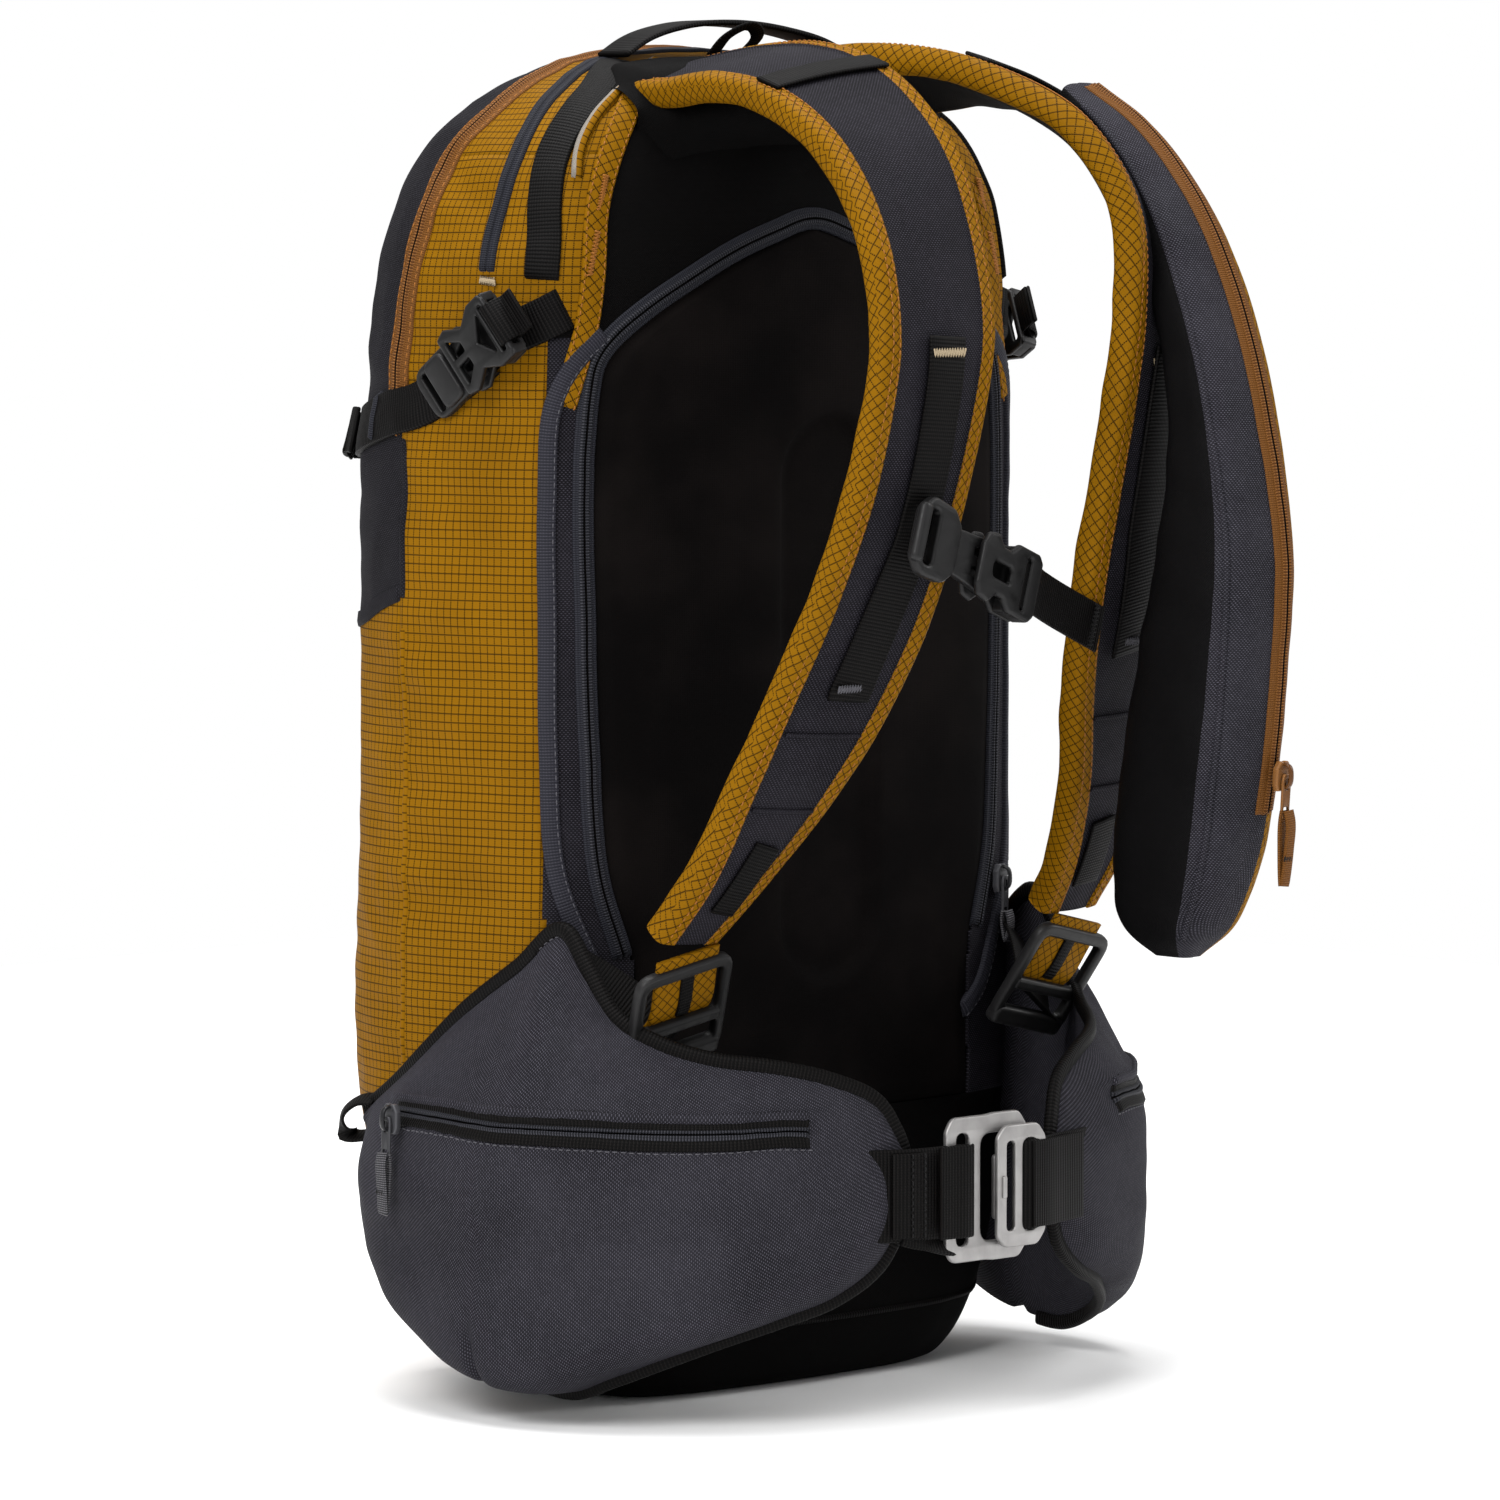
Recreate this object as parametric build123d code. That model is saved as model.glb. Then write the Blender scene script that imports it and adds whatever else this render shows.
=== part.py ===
from build123d import *

import os
from math import hypot

# A 25 litre ski touring backpack with a zipped back panel, a hose sleeve on the left
# shoulder strap, zipped hip pockets and a flat hook belt buckle.
# Frame: millimetres, +Z up, the base on z = 0, the harness faces -Y and the wearer's
# right is -X. The origin is on the floor at the middle of the bag.

# ---- driving dimensions ----
BAG_HALF_WIDTH = 142.0       # widest place of the bag
BAG_BACK = -97.0             # back face, at the middle
BAG_FRONT = 84.0             # front face, at the middle
BAG_TOP = 544.0
WALL = 3.0                   # cloth, lining and foam of the bag wall
BASE_HEIGHT = 25.0           # the reinforced base comes this far up
GREY_PANEL_LOW = 317.0       # lower edge of the tool pocket panel
TOP_SEAM = 500.0             # the side panels end here
SIDE_SEAM_Y = 6.0            # seam from side panel to front panel
BACK_SEAM_Y = -79.0          # seam from side panel to back border
DOOR_HINGE_Z = 110.0
DOOR_TOP = 487.0
DOOR_HALF_WIDTH = 117.0
DOOR_SHOULDER = 385.0         # the arch begins to curve in here
DOOR_GAP = 2.0
PAD_THICKNESS = 11.0
STRAP_THICKNESS = 11.0
HINGE_Y = -86.0              # the shoulder straps bend off the yoke here
WING_HINGE = (-172.0, -66.0)
WEB_20 = 20.0                # narrow webbing
WEB_38 = 38.0                # belt and lower strap webbing
WEB_THICK = 1.6
PLATE_THICK = 2.6
CLEAR = 0.4

os.makedirs("parts", exist_ok=True)


def save(node, shape):
    """Write one sub-part to its own STEP file."""
    solids = shape.solids()
    whole = solids[0] if len(solids) == 1 else Compound(children=list(solids))
    export_step(whole, f"parts/{node}.step")


def mirrored(shape):
    return mirror(shape, about=Plane.YZ)


def outline(points, smooth=False):
    """A closed face in the local XY plane."""
    edge = Spline(*points, periodic=True) if smooth else Polyline(*points, close=True)
    return make_face(edge)


def along_x(face, low, high):
    """A face drawn in (y, z), drawn out from x = low to x = high."""
    return extrude(Plane.YZ.offset(low) * face, amount=high - low, dir=(1, 0, 0))


def along_y(face, low, high):
    """A face drawn in (x, z), drawn out from y = low to y = high."""
    return extrude(Plane.XZ.offset(-high) * face, amount=high - low, dir=(0, -1, 0))


def along_z(face, low, high):
    """A face drawn in (x, y), drawn out from z = low to z = high."""
    return extrude(Plane.XY.offset(low) * face, amount=high - low, dir=(0, 0, 1))


def block(low, high):
    """A box from its lowest to its highest corner."""
    size = [b - a for a, b in zip(low, high)]
    middle = [(a + b) / 2 for a, b in zip(low, high)]
    return Pos(*middle) * Box(*size)


def offset_points(points, distance):
    """Each point of an open line moved to the left of the line's direction."""
    moved = []
    for i, (a, b) in enumerate(points):
        before = points[max(i - 1, 0)]
        after = points[min(i + 1, len(points) - 1)]
        run = (after[0] - before[0], after[1] - before[1])
        length = hypot(*run)
        moved.append((a - run[1] / length * distance, b + run[0] / length * distance))
    return moved


def band(points, low, high):
    """The face between two offsets of one smooth open line."""
    one = offset_points(points, low)
    two = offset_points(points, high)
    edges = [Spline(*one), Line(one[-1], two[-1]), Spline(*two[::-1]), Line(two[0], one[0])]
    return make_face(edges)


# ---- the bag ----
PLAN_HALF = [(0, BAG_BACK), (55, -95), (100, -89), (126, -78), (138, -45), (BAG_HALF_WIDTH, -5),
             (134, 35), (108, 64), (60, 79), (0, BAG_FRONT)]
SIDE_TOP = [(-95, 468), (-92, 497), (-75, 526), (-45, 541), (-5, BAG_TOP), (40, 521), (68, 487),
            (80, 440), (BAG_FRONT, 380)]
SIDE_LOW_FRONT = [(BAG_FRONT, 60), (79, 25), (67, 7), (52, 0)]
SIDE_LOW_BACK = [(-91, 0), (-94, 6), (-95, 24)]
FRONT_HALF = [(112, 0), (128, 12), (138, 45), (BAG_HALF_WIDTH, 90)]
FRONT_HALF_TOP = [(BAG_HALF_WIDTH, 430), (137, 475), (122, 510), (92, 531), (50, 542), (0, 545)]
MIDDLE = (0.0, -6.5, BAG_TOP / 2)
HALF = (BAG_HALF_WIDTH, (BAG_FRONT - BAG_BACK) / 2, BAG_TOP / 2)


def shrunk(points, axes, inset):
    """Outline points drawn in towards the middle of the bag by an inset."""
    keep = [1 - inset / HALF[axis] for axis in axes]
    centre = [MIDDLE[axis] for axis in axes]
    return [tuple(c + (p - c) * k for p, c, k in zip(point, centre, keep)) for point in points]


def bag_form(inset):
    """The bag as the common part of its plan, its side view and its front view."""
    plan = [(-x, y) for x, y in PLAN_HALF[-2:0:-1]]
    plan_face = outline(shrunk(PLAN_HALF + plan, (0, 1), inset), smooth=True)
    parts = [shrunk(points, (1, 2), inset) for points in (SIDE_TOP, SIDE_LOW_FRONT, SIDE_LOW_BACK)]
    edges = [Spline(*parts[0]), Line(parts[0][-1], parts[1][0]), Spline(*parts[1]),
             Line(parts[1][-1], parts[2][0]), Spline(*parts[2]), Line(parts[2][-1], parts[0][0])]
    side_face = make_face(edges)
    low = shrunk(FRONT_HALF, (0, 2), inset)
    top = shrunk(FRONT_HALF_TOP, (0, 2), inset)
    low_left = [(-x, z) for x, z in low[::-1]]
    top_left = [(-x, z) for x, z in top[::-1]]
    crown = top + top_left[1:]
    edges = [Spline(*low), Line(low[-1], crown[0]), Spline(*crown), Line(crown[-1], low_left[0]),
             Spline(*low_left), Line(low_left[-1], low[0])]
    front_face = make_face(edges)
    return along_z(plan_face, 0, 600) & along_x(side_face, -200, 200) & along_y(front_face, -200, 200)


bag_outer = bag_form(0)
bag_inner = bag_form(WALL)
bag_wall = bag_outer - bag_inner


def door_face(gap):
    """Arch outline of the back panel, wider by a gap, in (x, z)."""
    half = DOOR_HALF_WIDTH + gap
    top = DOOR_TOP + gap
    low = DOOR_HINGE_Z - gap
    arch = Spline((-half, DOOR_SHOULDER), (-half * 0.88, DOOR_SHOULDER + 48 + gap * 0.6),
                  (-half * 0.5, top - 14), (0, top), (half * 0.5, top - 14),
                  (half * 0.88, DOOR_SHOULDER + 48 + gap * 0.6), (half, DOOR_SHOULDER),
                  tangents=[(0, 1), (0, -1)])
    return make_face([arch, Line((half, DOOR_SHOULDER), (half, low)), Line((half, low), (-half, low)),
                      Line((-half, low), (-half, DOOR_SHOULDER))])


def bag_panels():
    """The wall cut along its seams into panels that meet edge to edge."""
    reach = 300
    save("base_panel", bag_wall & block((-reach, -reach, -1), (reach, reach, BASE_HEIGHT)))
    side = block((0, BACK_SEAM_Y, BASE_HEIGHT), (reach, SIDE_SEAM_Y, TOP_SEAM))
    save("left_side_panel", bag_wall & side)
    save("right_side_panel", bag_wall & mirrored(side))
    front_low = block((-reach, SIDE_SEAM_Y, BASE_HEIGHT), (reach, reach, GREY_PANEL_LOW))
    save("lower_front_panel", bag_wall & front_low)
    front_high = block((-reach, SIDE_SEAM_Y, GREY_PANEL_LOW), (reach, reach, 600))
    save("tool_pocket_panel", bag_wall & front_high)
    save("top_panel", bag_wall & block((-reach, BACK_SEAM_Y, TOP_SEAM), (reach, SIDE_SEAM_Y, 600)))
    back = bag_wall - along_y(door_face(DOOR_GAP), -150, -60)
    door_low = DOOR_HINGE_Z - DOOR_GAP
    save("lumbar_panel", back & block((-reach, -reach, BASE_HEIGHT), (reach, BACK_SEAM_Y, door_low)))
    save("upper_back_panel", back & block((-reach, -reach, 428), (reach, BACK_SEAM_Y, 600)))
    border = back & block((0, -reach, door_low), (reach, BACK_SEAM_Y, 428))
    save("left_back_border", border)
    save("right_back_border", mirrored(border))


def inner_pieces():
    """What the bag holds inside: the tool pocket's wall and the drink reservoir's sleeve."""
    sheet = along_y(outline([(-104, 40), (104, 40), (110, 300), (92, 470), (-92, 470), (-110, 300)]),
                    50, 52)
    save("compartment_divider", sheet & bag_inner)
    pouch = along_y(outline([(-80, 60), (80, 60), (80, 300), (-80, 300)]), 44.5, 46.5)
    lip = block((-80, 44.5, 300), (80, 49, 306))
    save("hydration_sleeve", pouch + lip)
    tab = block((-10, 45.2, 392), (10, 46.8, 440))
    hook = Pos(0, 42.5, 390) * Rot(0, 90, 0) * (Cylinder(5, 16) - Cylinder(3, 16))
    save("reservoir_hanger", tab + hook - block((-20, 46.8, 380), (20, 60, 440)))


# ---- zips, as raised strips along their seams ----
ZIP_RAISE = 1.2


def zips():
    """Zip strips, each a thin skin over the bag cut to the zip's own path."""
    skin = bag_form(-ZIP_RAISE) - bag_outer
    ring = along_y(door_face(9) - door_face(3), -150, -60)
    upper = block((-300, -300, DOOR_HINGE_Z), (300, 300, 600))
    save("back_panel_zip", skin & ring & upper)
    tool = along_x(band(TOOL_ZIP_LINE, -5, 5), -200, 200)
    save("tool_pocket_zip", skin & tool & block((-300, -60, 390), (300, 120, 600)))
    top = along_x(band(TOP_ZIP_LINE, -5, 5), -200, 200)
    save("top_pocket_zip", skin & top & block((-300, -80, 455), (300, 120, 600)))


TOOL_ZIP_LINE = [(2, 380), (0, 430), (-5, 470), (-8, 500), (8, 535), (25, 570)]
TOP_ZIP_LINE = [(-57, 450), (-52, 480), (-44, 510), (-36, 540), (-30, 570)]


# ---- back panel: foam pad, plastic frame sheet and aluminium stay ----
def back_panel():
    arch = along_y(door_face(0), -150, -60)
    front_cut = block((-200, -150, 0), (200, BAG_BACK + PAD_THICKNESS, 600))
    channel = Pos(7, 0, 282) * SlotCenterToCenter(182, 53, rotation=90)
    channel = along_y(channel, -150, BAG_BACK + 3)
    save("back_panel_pad", (arch & front_cut & bag_form(0)) - channel)
    sheet_y = BAG_BACK + PAD_THICKNESS
    sheet = along_y(outline([(-96, 118), (96, 118), (96, 400), (60, 462), (-60, 462), (-96, 400)]),
                    sheet_y, sheet_y + 1.5)
    save("frame_sheet", sheet)
    stay = block((-14, sheet_y + 1.5, 122), (14, sheet_y + 4.5, 440))
    save("frame_stay", fillet(stay.edges().filter_by(Axis.Y), 10))


# ---- haul loop on top ----
LOOP_Y = -45.0
LOOP_HALF = 62.0
LOOP_LINE = [(-LOOP_HALF, 544.5), (-40, 550), (-5, 553.6), (30, 550), (LOOP_HALF, 544.5)]


def haul_loop():
    strip = along_y(band(LOOP_LINE, 0, 2.4), LOOP_Y - 10, LOOP_Y + 10)
    save("haul_loop", strip - bag_form(-CLEAR))


# ---- shoulder straps ----
STRAP_LINE = [(HINGE_Y, 535), (-118, 543), (-162, 532), (-200, 503), (-222, 466), (-232, 432),
              (-230, 395), (-222, 360), (-211, 326), (-195, 288), (-177, 248), (-154, 208), (-137, 187)]
STRAP_INNER = [(-14, 600), (-14, 545), (-20, 503), (-26, 462), (-30, 431), (-34, 393), (-38, 358),
               (-42, 326), (-51, 287), (-66, 247), (-84, 207), (-93, 180)]
STRAP_OUTER = [(-81, 600), (-82, 530), (-86, 501), (-90, 470), (-94, 440), (-97, 405), (-99, 375),
               (-101, 328), (-107, 289), (-115, 250), (-122, 210), (-122, 180)]
RAIL_X = (-72.0, -52.0)


def right_strap(low, high):
    """One strap layer between two depths under its outer face."""
    side = along_x(band(STRAP_LINE, low, high), -140, 0)
    edges = [Spline(*STRAP_INNER), Line(STRAP_INNER[-1], STRAP_OUTER[-1]), Spline(*STRAP_OUTER[::-1]),
             Line(STRAP_OUTER[0], STRAP_INNER[0])]
    return side & along_y(make_face(edges), -300, 0)


def shoulder_straps():
    strap = right_strap(0, STRAP_THICKNESS)
    save("right_shoulder_strap", strap)
    save("left_shoulder_strap", mirrored(strap))
    yoke_line = [(-60, 543), (HINGE_Y + 3, 535)]
    yoke_face = make_face(Polyline(yoke_line[0], yoke_line[1], (HINGE_Y + 3, 524), (-82, 515), (-60, 515),
                                   close=True))
    yoke = along_x(yoke_face, -82, 82) - bag_outer
    save("yoke", yoke)
    rail = along_x(band(STRAP_LINE, -WEB_THICK - 0.4, -0.4), *RAIL_X)
    rail = rail & block((-90, -300, 290), (0, 0, 430))
    save("right_sternum_rail", rail)
    save("left_sternum_rail", mirrored(rail) & block((0, -300, 318), (90, 0, 420)))


# ---- drink hose sleeve on the left strap ----
SLEEVE_OUTER = [(-178, 526), (-227, 479), (-256, 423), (-273, 363), (-276, 323), (-270, 283),
                (-267, 242), (-250, 194), (-226, 177)]
SLEEVE_INNER = [(-203, 180), (-197, 200), (-200, 241), (-209, 290), (-220, 334), (-231, 372),
                (-238, 396), (-240, 432), (-231, 462)]
SLEEVE_BORE = [(-244, 396), (-262, 372), (-268, 340), (-268, 310), (-263, 280), (-260, 242), (-246, 205),
               (-232, 190), (-208, 190), (-204, 205), (-207, 241), (-216, 290), (-227, 334), (-239, 372)]
SLEEVE_X = (58.0, 102.0)


def hose_sleeve():
    edges = [Spline(*SLEEVE_OUTER), Line(SLEEVE_OUTER[-1], SLEEVE_INNER[0]), Spline(*SLEEVE_INNER),
             Line(SLEEVE_INNER[-1], SLEEVE_OUTER[0])]
    pod = along_x(make_face(edges), *SLEEVE_X)
    taper = [(56, 170), (72, 165), (96, 165), (SLEEVE_X[1], 190), (SLEEVE_X[1], 430), (92, 540), (50, 540)]
    pod = pod & along_y(outline(taper), -300, -100)
    wearer = mirrored(right_strap(-1.0, STRAP_THICKNESS))
    bore = along_x(outline(SLEEVE_BORE), SLEEVE_X[0] + 5, SLEEVE_X[1] - 5)
    port = Pos(80, -214, 180) * Cylinder(5, 40)
    pod = pod - wearer - bore - port
    save("hose_sleeve", pod.solids().sort_by(SortBy.VOLUME)[-1])
    strip = along_x(band(SLEEVE_OUTER, -1.8, -0.3), 84, 94)
    save("sleeve_zip", strip & block((0, -300, 235), (200, 0, 490)))


# ---- chest strap: it slopes down from the right strap to the left one ----
STERNUM_START = (-62.0, -229.0, 350.0)
STERNUM_END = (45.5, -211.0, 312.0)
BUCKLE_WIDTH = 28.0


def sternum_place(shape):
    """Lay a shape drawn along +X onto the sloping chest strap."""
    along = (Vector(*STERNUM_END) - Vector(*STERNUM_START)).normalized()
    across = Vector(0, 0, 1).cross(along).normalized()
    return Plane(origin=STERNUM_START, x_dir=along, z_dir=along.cross(across)) * shape


def chest_strap():
    half = BUCKLE_WIDTH / 2
    slider = block((-14, -3, -15), (12, 3, 15)) - block((-8, -4, -11), (-3, 4, 11))
    stem = block((12, -2.5, -9), (22, 2.5, 9))
    prongs = block((22, -2, -10), (42, 2, -6)) + block((22, -2, 6), (42, 2, 10))
    prongs += block((22, -1.5, -2), (38, 1.5, 2))
    save("sternum_slider_male", sternum_place(slider + stem + prongs))
    shell = fillet(block((24, -6, -half), (64, 6, half)).edges().filter_by(Axis.X), 3)
    pocket = block((23, -3, -10.8), (46, 3, 10.8))
    windows = block((30, -7, -half - 1), (42, 7, -half + 3)) + block((30, -7, half - 3), (42, 7, half + 1))
    slot = block((54, -7, -10.4), (58, 7, 10.4))
    save("sternum_female", sternum_place(shell - pocket - windows - slot))
    length = (Vector(*STERNUM_END) - Vector(*STERNUM_START)).length
    web = block((64.6, -1, -WEB_20 / 2), (length, 0.6, WEB_20 / 2))
    save("sternum_webbing", sternum_place(web))
    anchor = block((length, -1.5, -WEB_20 / 2), (length + 3.5, 1.5, WEB_20 / 2))
    save("sternum_anchor", sternum_place(anchor) - mirrored(right_strap(-0.2, STRAP_THICKNESS)))


# ---- lower webbing with its ladder-lock adjuster ----
ADJUSTER_TOP = (-107.7, -137.0, 180.0)
ADJUSTER_LEAN = 28.0
ADJUSTER_ROLL = -14.0
ADJUSTER_SIZE = 44.0


def adjusters():
    """A square frame with a middle bar, hung on the strap's end."""
    half = ADJUSTER_SIZE / 2
    frame = block((-half, -2, 2 - ADJUSTER_SIZE), (half, 2, 2))
    frame = fillet(frame.edges().filter_by(Axis.Y), 6)
    frame -= block((-half + 4, -3, -20), (half - 4, 3, -2.4))
    frame -= block((-half + 4, -3, 6 - ADJUSTER_SIZE), (half - 4, 3, -24))
    placed = Pos(*ADJUSTER_TOP) * Rot(ADJUSTER_LEAN, 0, 0) * Rot(0, ADJUSTER_ROLL, 0) * frame
    save("right_adjuster", placed)
    save("left_adjuster", mirrored(placed))
    run = [(-111, 152), (-104, 138), (-99, 125)]
    web = along_x(band(run, -0.8, 0.8), -134, -96)
    web = web - bag_form(-CLEAR)
    save("right_lower_webbing", web)
    save("left_lower_webbing", mirrored(web))


# ---- hip fairings on the bag and the wings in front of them ----
FAIRING_PLAN = [(-120, 52), (-145, 50), (-163, 15), (-171, -30), (-172, -64), (-120, -64)]
FAIRING_SIDE = [(50, 62), (50, 112), (30, 125), (-20, 150), (-64, 172), (-64, 16), (-20, 34), (20, 48)]
FAIRING_FRONT = [(-110, 186), (-142, 172), (-162, 140), (-172, 116), (-173, 70), (-168, 40), (-150, 16),
                 (-110, 8)]
WING_OUTER = [(-172, -66), (-170, -84), (-153, -130), (-116, -170), (-72, -191), (-42, -196)]
POCKET_DEPTH = 9.0
WING_DEPTH = 19.0
WING_SIDE = [(-66, 168), (-100, 160), (-130, 147), (-172, 134), (-190, 126), (-199, 108), (-199, 74),
             (-190, 54), (-172, 33), (-130, 14), (-90, 13), (-66, 20)]
POCKET_SIDE = [(-66, 134), (-130, 126), (-172, 120), (-188, 108), (-194, 92), (-188, 66), (-172, 46),
               (-130, 26), (-90, 22), (-66, 26)]


def hip_belt():
    fairing = along_z(outline(FAIRING_PLAN), 0, 250) & along_x(outline(FAIRING_SIDE), -200, 0)
    fairing = (fairing & along_y(outline(FAIRING_FRONT), -200, 100)) - bag_outer
    fairing = fairing.solids().sort_by(SortBy.VOLUME)[-1]
    save("right_hip_fairing", fairing)
    save("left_hip_fairing", mirrored(fairing))
    pad = along_z(band(WING_OUTER, POCKET_DEPTH, WING_DEPTH), 0, 250) & along_x(outline(WING_SIDE), -200, 0)
    pocket = along_z(band(WING_OUTER, 0, POCKET_DEPTH), 0, 250) & along_x(outline(POCKET_SIDE), -200, 0)
    save("right_wing_pad", pad)
    save("left_wing_pad", mirrored(pad))
    save("right_wing_pocket", pocket)
    save("left_wing_pocket", mirrored(pocket))


# ---- belt webbing and the two flat buckle plates ----
BELT_Z = 91.0
LOOP_PLATE_X = (-28.0, 18.0)
LOOP_PLATE_Y = -198.5
HOOK_PLATE_X = (-3.5, 23.5)
HOOK_PLATE_Y = LOOP_PLATE_Y - PLATE_THICK - 2.2
LOOP_PLATE_HEIGHT = 59.0
HOOK_PLATE_HEIGHT = 49.0


def plate(x_range, y, height, windows):
    low, high = x_range
    body = block((low, y - PLATE_THICK, BELT_Z - height / 2), (high, y, BELT_Z + height / 2))
    body = fillet(body.edges().filter_by(Axis.Y), 8)
    for left, right in windows:
        window = block((left, y - 9, BELT_Z - height / 2 + 7), (right, y + 9, BELT_Z + height / 2 - 7))
        body -= fillet(window.edges().filter_by(Axis.Y), (right - left) * 0.4)
    return body


def belt():
    save("belt_loop_plate", plate(LOOP_PLATE_X, LOOP_PLATE_Y, LOOP_PLATE_HEIGHT, [(-22, -15), (-8, 12)]))
    save("belt_hook_plate", plate(HOOK_PLATE_X, HOOK_PLATE_Y, HOOK_PLATE_HEIGHT, [(2.5, 8), (12, 18)]))
    half = WEB_38 / 2
    web = block((-66, LOOP_PLATE_Y + 0.2, BELT_Z - half), (-24, LOOP_PLATE_Y + 2.0, BELT_Z + half))
    wing = along_z(band(WING_OUTER, -0.2, WING_DEPTH + 0.2), 0, 250)
    save("right_belt_webbing", (web - wing).solids().sort_by(Axis.X)[-1])
    web = block((20, LOOP_PLATE_Y + 0.2, BELT_Z - half), (66, LOOP_PLATE_Y + 2.0, BELT_Z + half))
    save("left_belt_webbing", (web - mirrored(wing)).solids().sort_by(Axis.X)[0])


# ---- compression strap round the upper bag, with a side-release buckle on each side ----
STRAP_Z = 405.0
STRAP_RISE = 15.0


def compression_strap():
    """A webbing belt that rides on the bag, higher at the back than at the front."""
    near = bag_form(-1.8 - WEB_THICK) - bag_form(-1.8)
    low = STRAP_Z - WEB_20 / 2
    slope = [(100, low - 9), (100, low + 11), (-34, low + 21), (-34, low + 1)]
    ring = near & along_x(outline(slope), -200, 200)
    save("compression_strap", ring)
    body = block((-2.6, -27, -15), (6.4, 27, 15))
    body = fillet(body.edges().filter_by(Axis.Y), 2.5)
    body -= block((0, -28, -10.6), (3.2, -15, 10.6))
    buckle = Pos(-145, -60, 424) * Rot(-8, 0, 0) * Rot(0, 0, 9) * body
    buckle = buckle - bag_form(-CLEAR)
    buckle = buckle.solids().sort_by(SortBy.VOLUME)[-1]
    save("right_compression_buckle", buckle)
    save("left_compression_buckle", mirrored(buckle))


# ---- ski loops at the fairings ----
def ski_loops():
    band_line = [(38, 112), (20, 128), (-30, 152), (-60, 166)]
    skin = bag_form(-2.2) - bag_form(-0.2)
    strip = skin & along_x(band(band_line, -12, -2), -200, -60)
    fairing = along_z(outline(FAIRING_PLAN), 0, 250) & along_x(outline(FAIRING_SIDE), -200, 0)
    strip = (strip - fairing).solids().sort_by(SortBy.VOLUME)[-1]
    save("right_ski_loop", strip)
    save("left_ski_loop", mirrored(strip))


# ---- zip sliders with their pullers ----
def slider_piece():
    """A slider lying on a zip that runs along Z, outer face at +Y = 0."""
    body = block((-4.5, -3.2, -6), (4.5, -0.4, 6))
    bridge = block((-1.2, -6.2, -4.5), (1.2, -3.2, 4.5)) - block((-2, -5.0, -3), (2, -3.2, 3))
    return fillet(body.edges().filter_by(Axis.Y), 2) + bridge


def puller_piece(length):
    """A pull tab with a hole at its top, hanging from the slider's bridge."""
    tab = block((-2.8, -4.6, -length), (2.8, -3.7, 0.6))
    return tab - block((-1.7, -5, -5.4), (1.7, -3, -0.6))


def sliders():
    spots = {
        "right_pocket": (Pos(-173.2, -34, 116) * Rot(0, 0, -90), 42),
        "left_pocket": (Pos(173.2, -34, 116) * Rot(0, 0, 90), 50),
        "sleeve": (Pos(89, -270.8, 254), 44),
        "back_zip": (Pos(124.15, -82.25, 200) * Rot(0, 0, 22), 30),
        "tool_zip": (Pos(144.6, 1.5, 440) * Rot(0, 0, 90), 30),
    }
    for name, (place, length) in spots.items():
        save(f"{name}_slider", place * slider_piece())
        save(f"{name}_puller", place * puller_piece(length))


bag_panels()
inner_pieces()
zips()
back_panel()
haul_loop()
shoulder_straps()
hose_sleeve()
chest_strap()
adjusters()
hip_belt()
belt()
compression_strap()
ski_loops()
sliders()
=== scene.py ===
import math

import bmesh
import bpy
import numpy as np
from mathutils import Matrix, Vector, noise
from mathutils.bvhtree import BVHTree


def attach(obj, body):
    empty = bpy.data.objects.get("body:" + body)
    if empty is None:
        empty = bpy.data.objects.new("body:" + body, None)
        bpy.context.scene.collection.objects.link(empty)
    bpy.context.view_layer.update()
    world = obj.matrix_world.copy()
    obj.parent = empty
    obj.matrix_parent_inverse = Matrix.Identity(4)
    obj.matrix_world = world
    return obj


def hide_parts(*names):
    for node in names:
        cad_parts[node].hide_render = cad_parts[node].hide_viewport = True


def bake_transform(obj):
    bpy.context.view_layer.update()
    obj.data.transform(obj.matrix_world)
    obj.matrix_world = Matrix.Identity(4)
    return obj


# A ski touring backpack. Positions are in millimetres in the frame's own axes (+Z up, the
# harness faces -Y, the wearer's right is -X) and are turned into metres when a mesh is made.

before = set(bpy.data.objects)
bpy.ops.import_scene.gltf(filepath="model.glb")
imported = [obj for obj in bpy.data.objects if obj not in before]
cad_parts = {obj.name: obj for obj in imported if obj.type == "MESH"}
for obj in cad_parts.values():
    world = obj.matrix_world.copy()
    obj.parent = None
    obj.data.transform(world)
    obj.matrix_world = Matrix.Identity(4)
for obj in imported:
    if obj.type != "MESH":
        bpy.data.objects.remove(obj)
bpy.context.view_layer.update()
MM = 0.001


# ---------------------------------------------------------------- curves and meshes
def arr(values):
    return np.asarray(values, float)


def unit(vectors):
    length = np.linalg.norm(vectors, axis=-1, keepdims=True)
    return vectors / np.maximum(length, 1e-9)


def resample(line, count):
    """The same line as evenly spaced points."""
    steps = np.linalg.norm(np.diff(line, axis=0), axis=1)
    along = np.r_[0, np.cumsum(steps)]
    wanted = np.linspace(0, along[-1], count)
    return np.stack([np.interp(wanted, along, line[:, k]) for k in range(line.shape[1])], axis=1)


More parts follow.
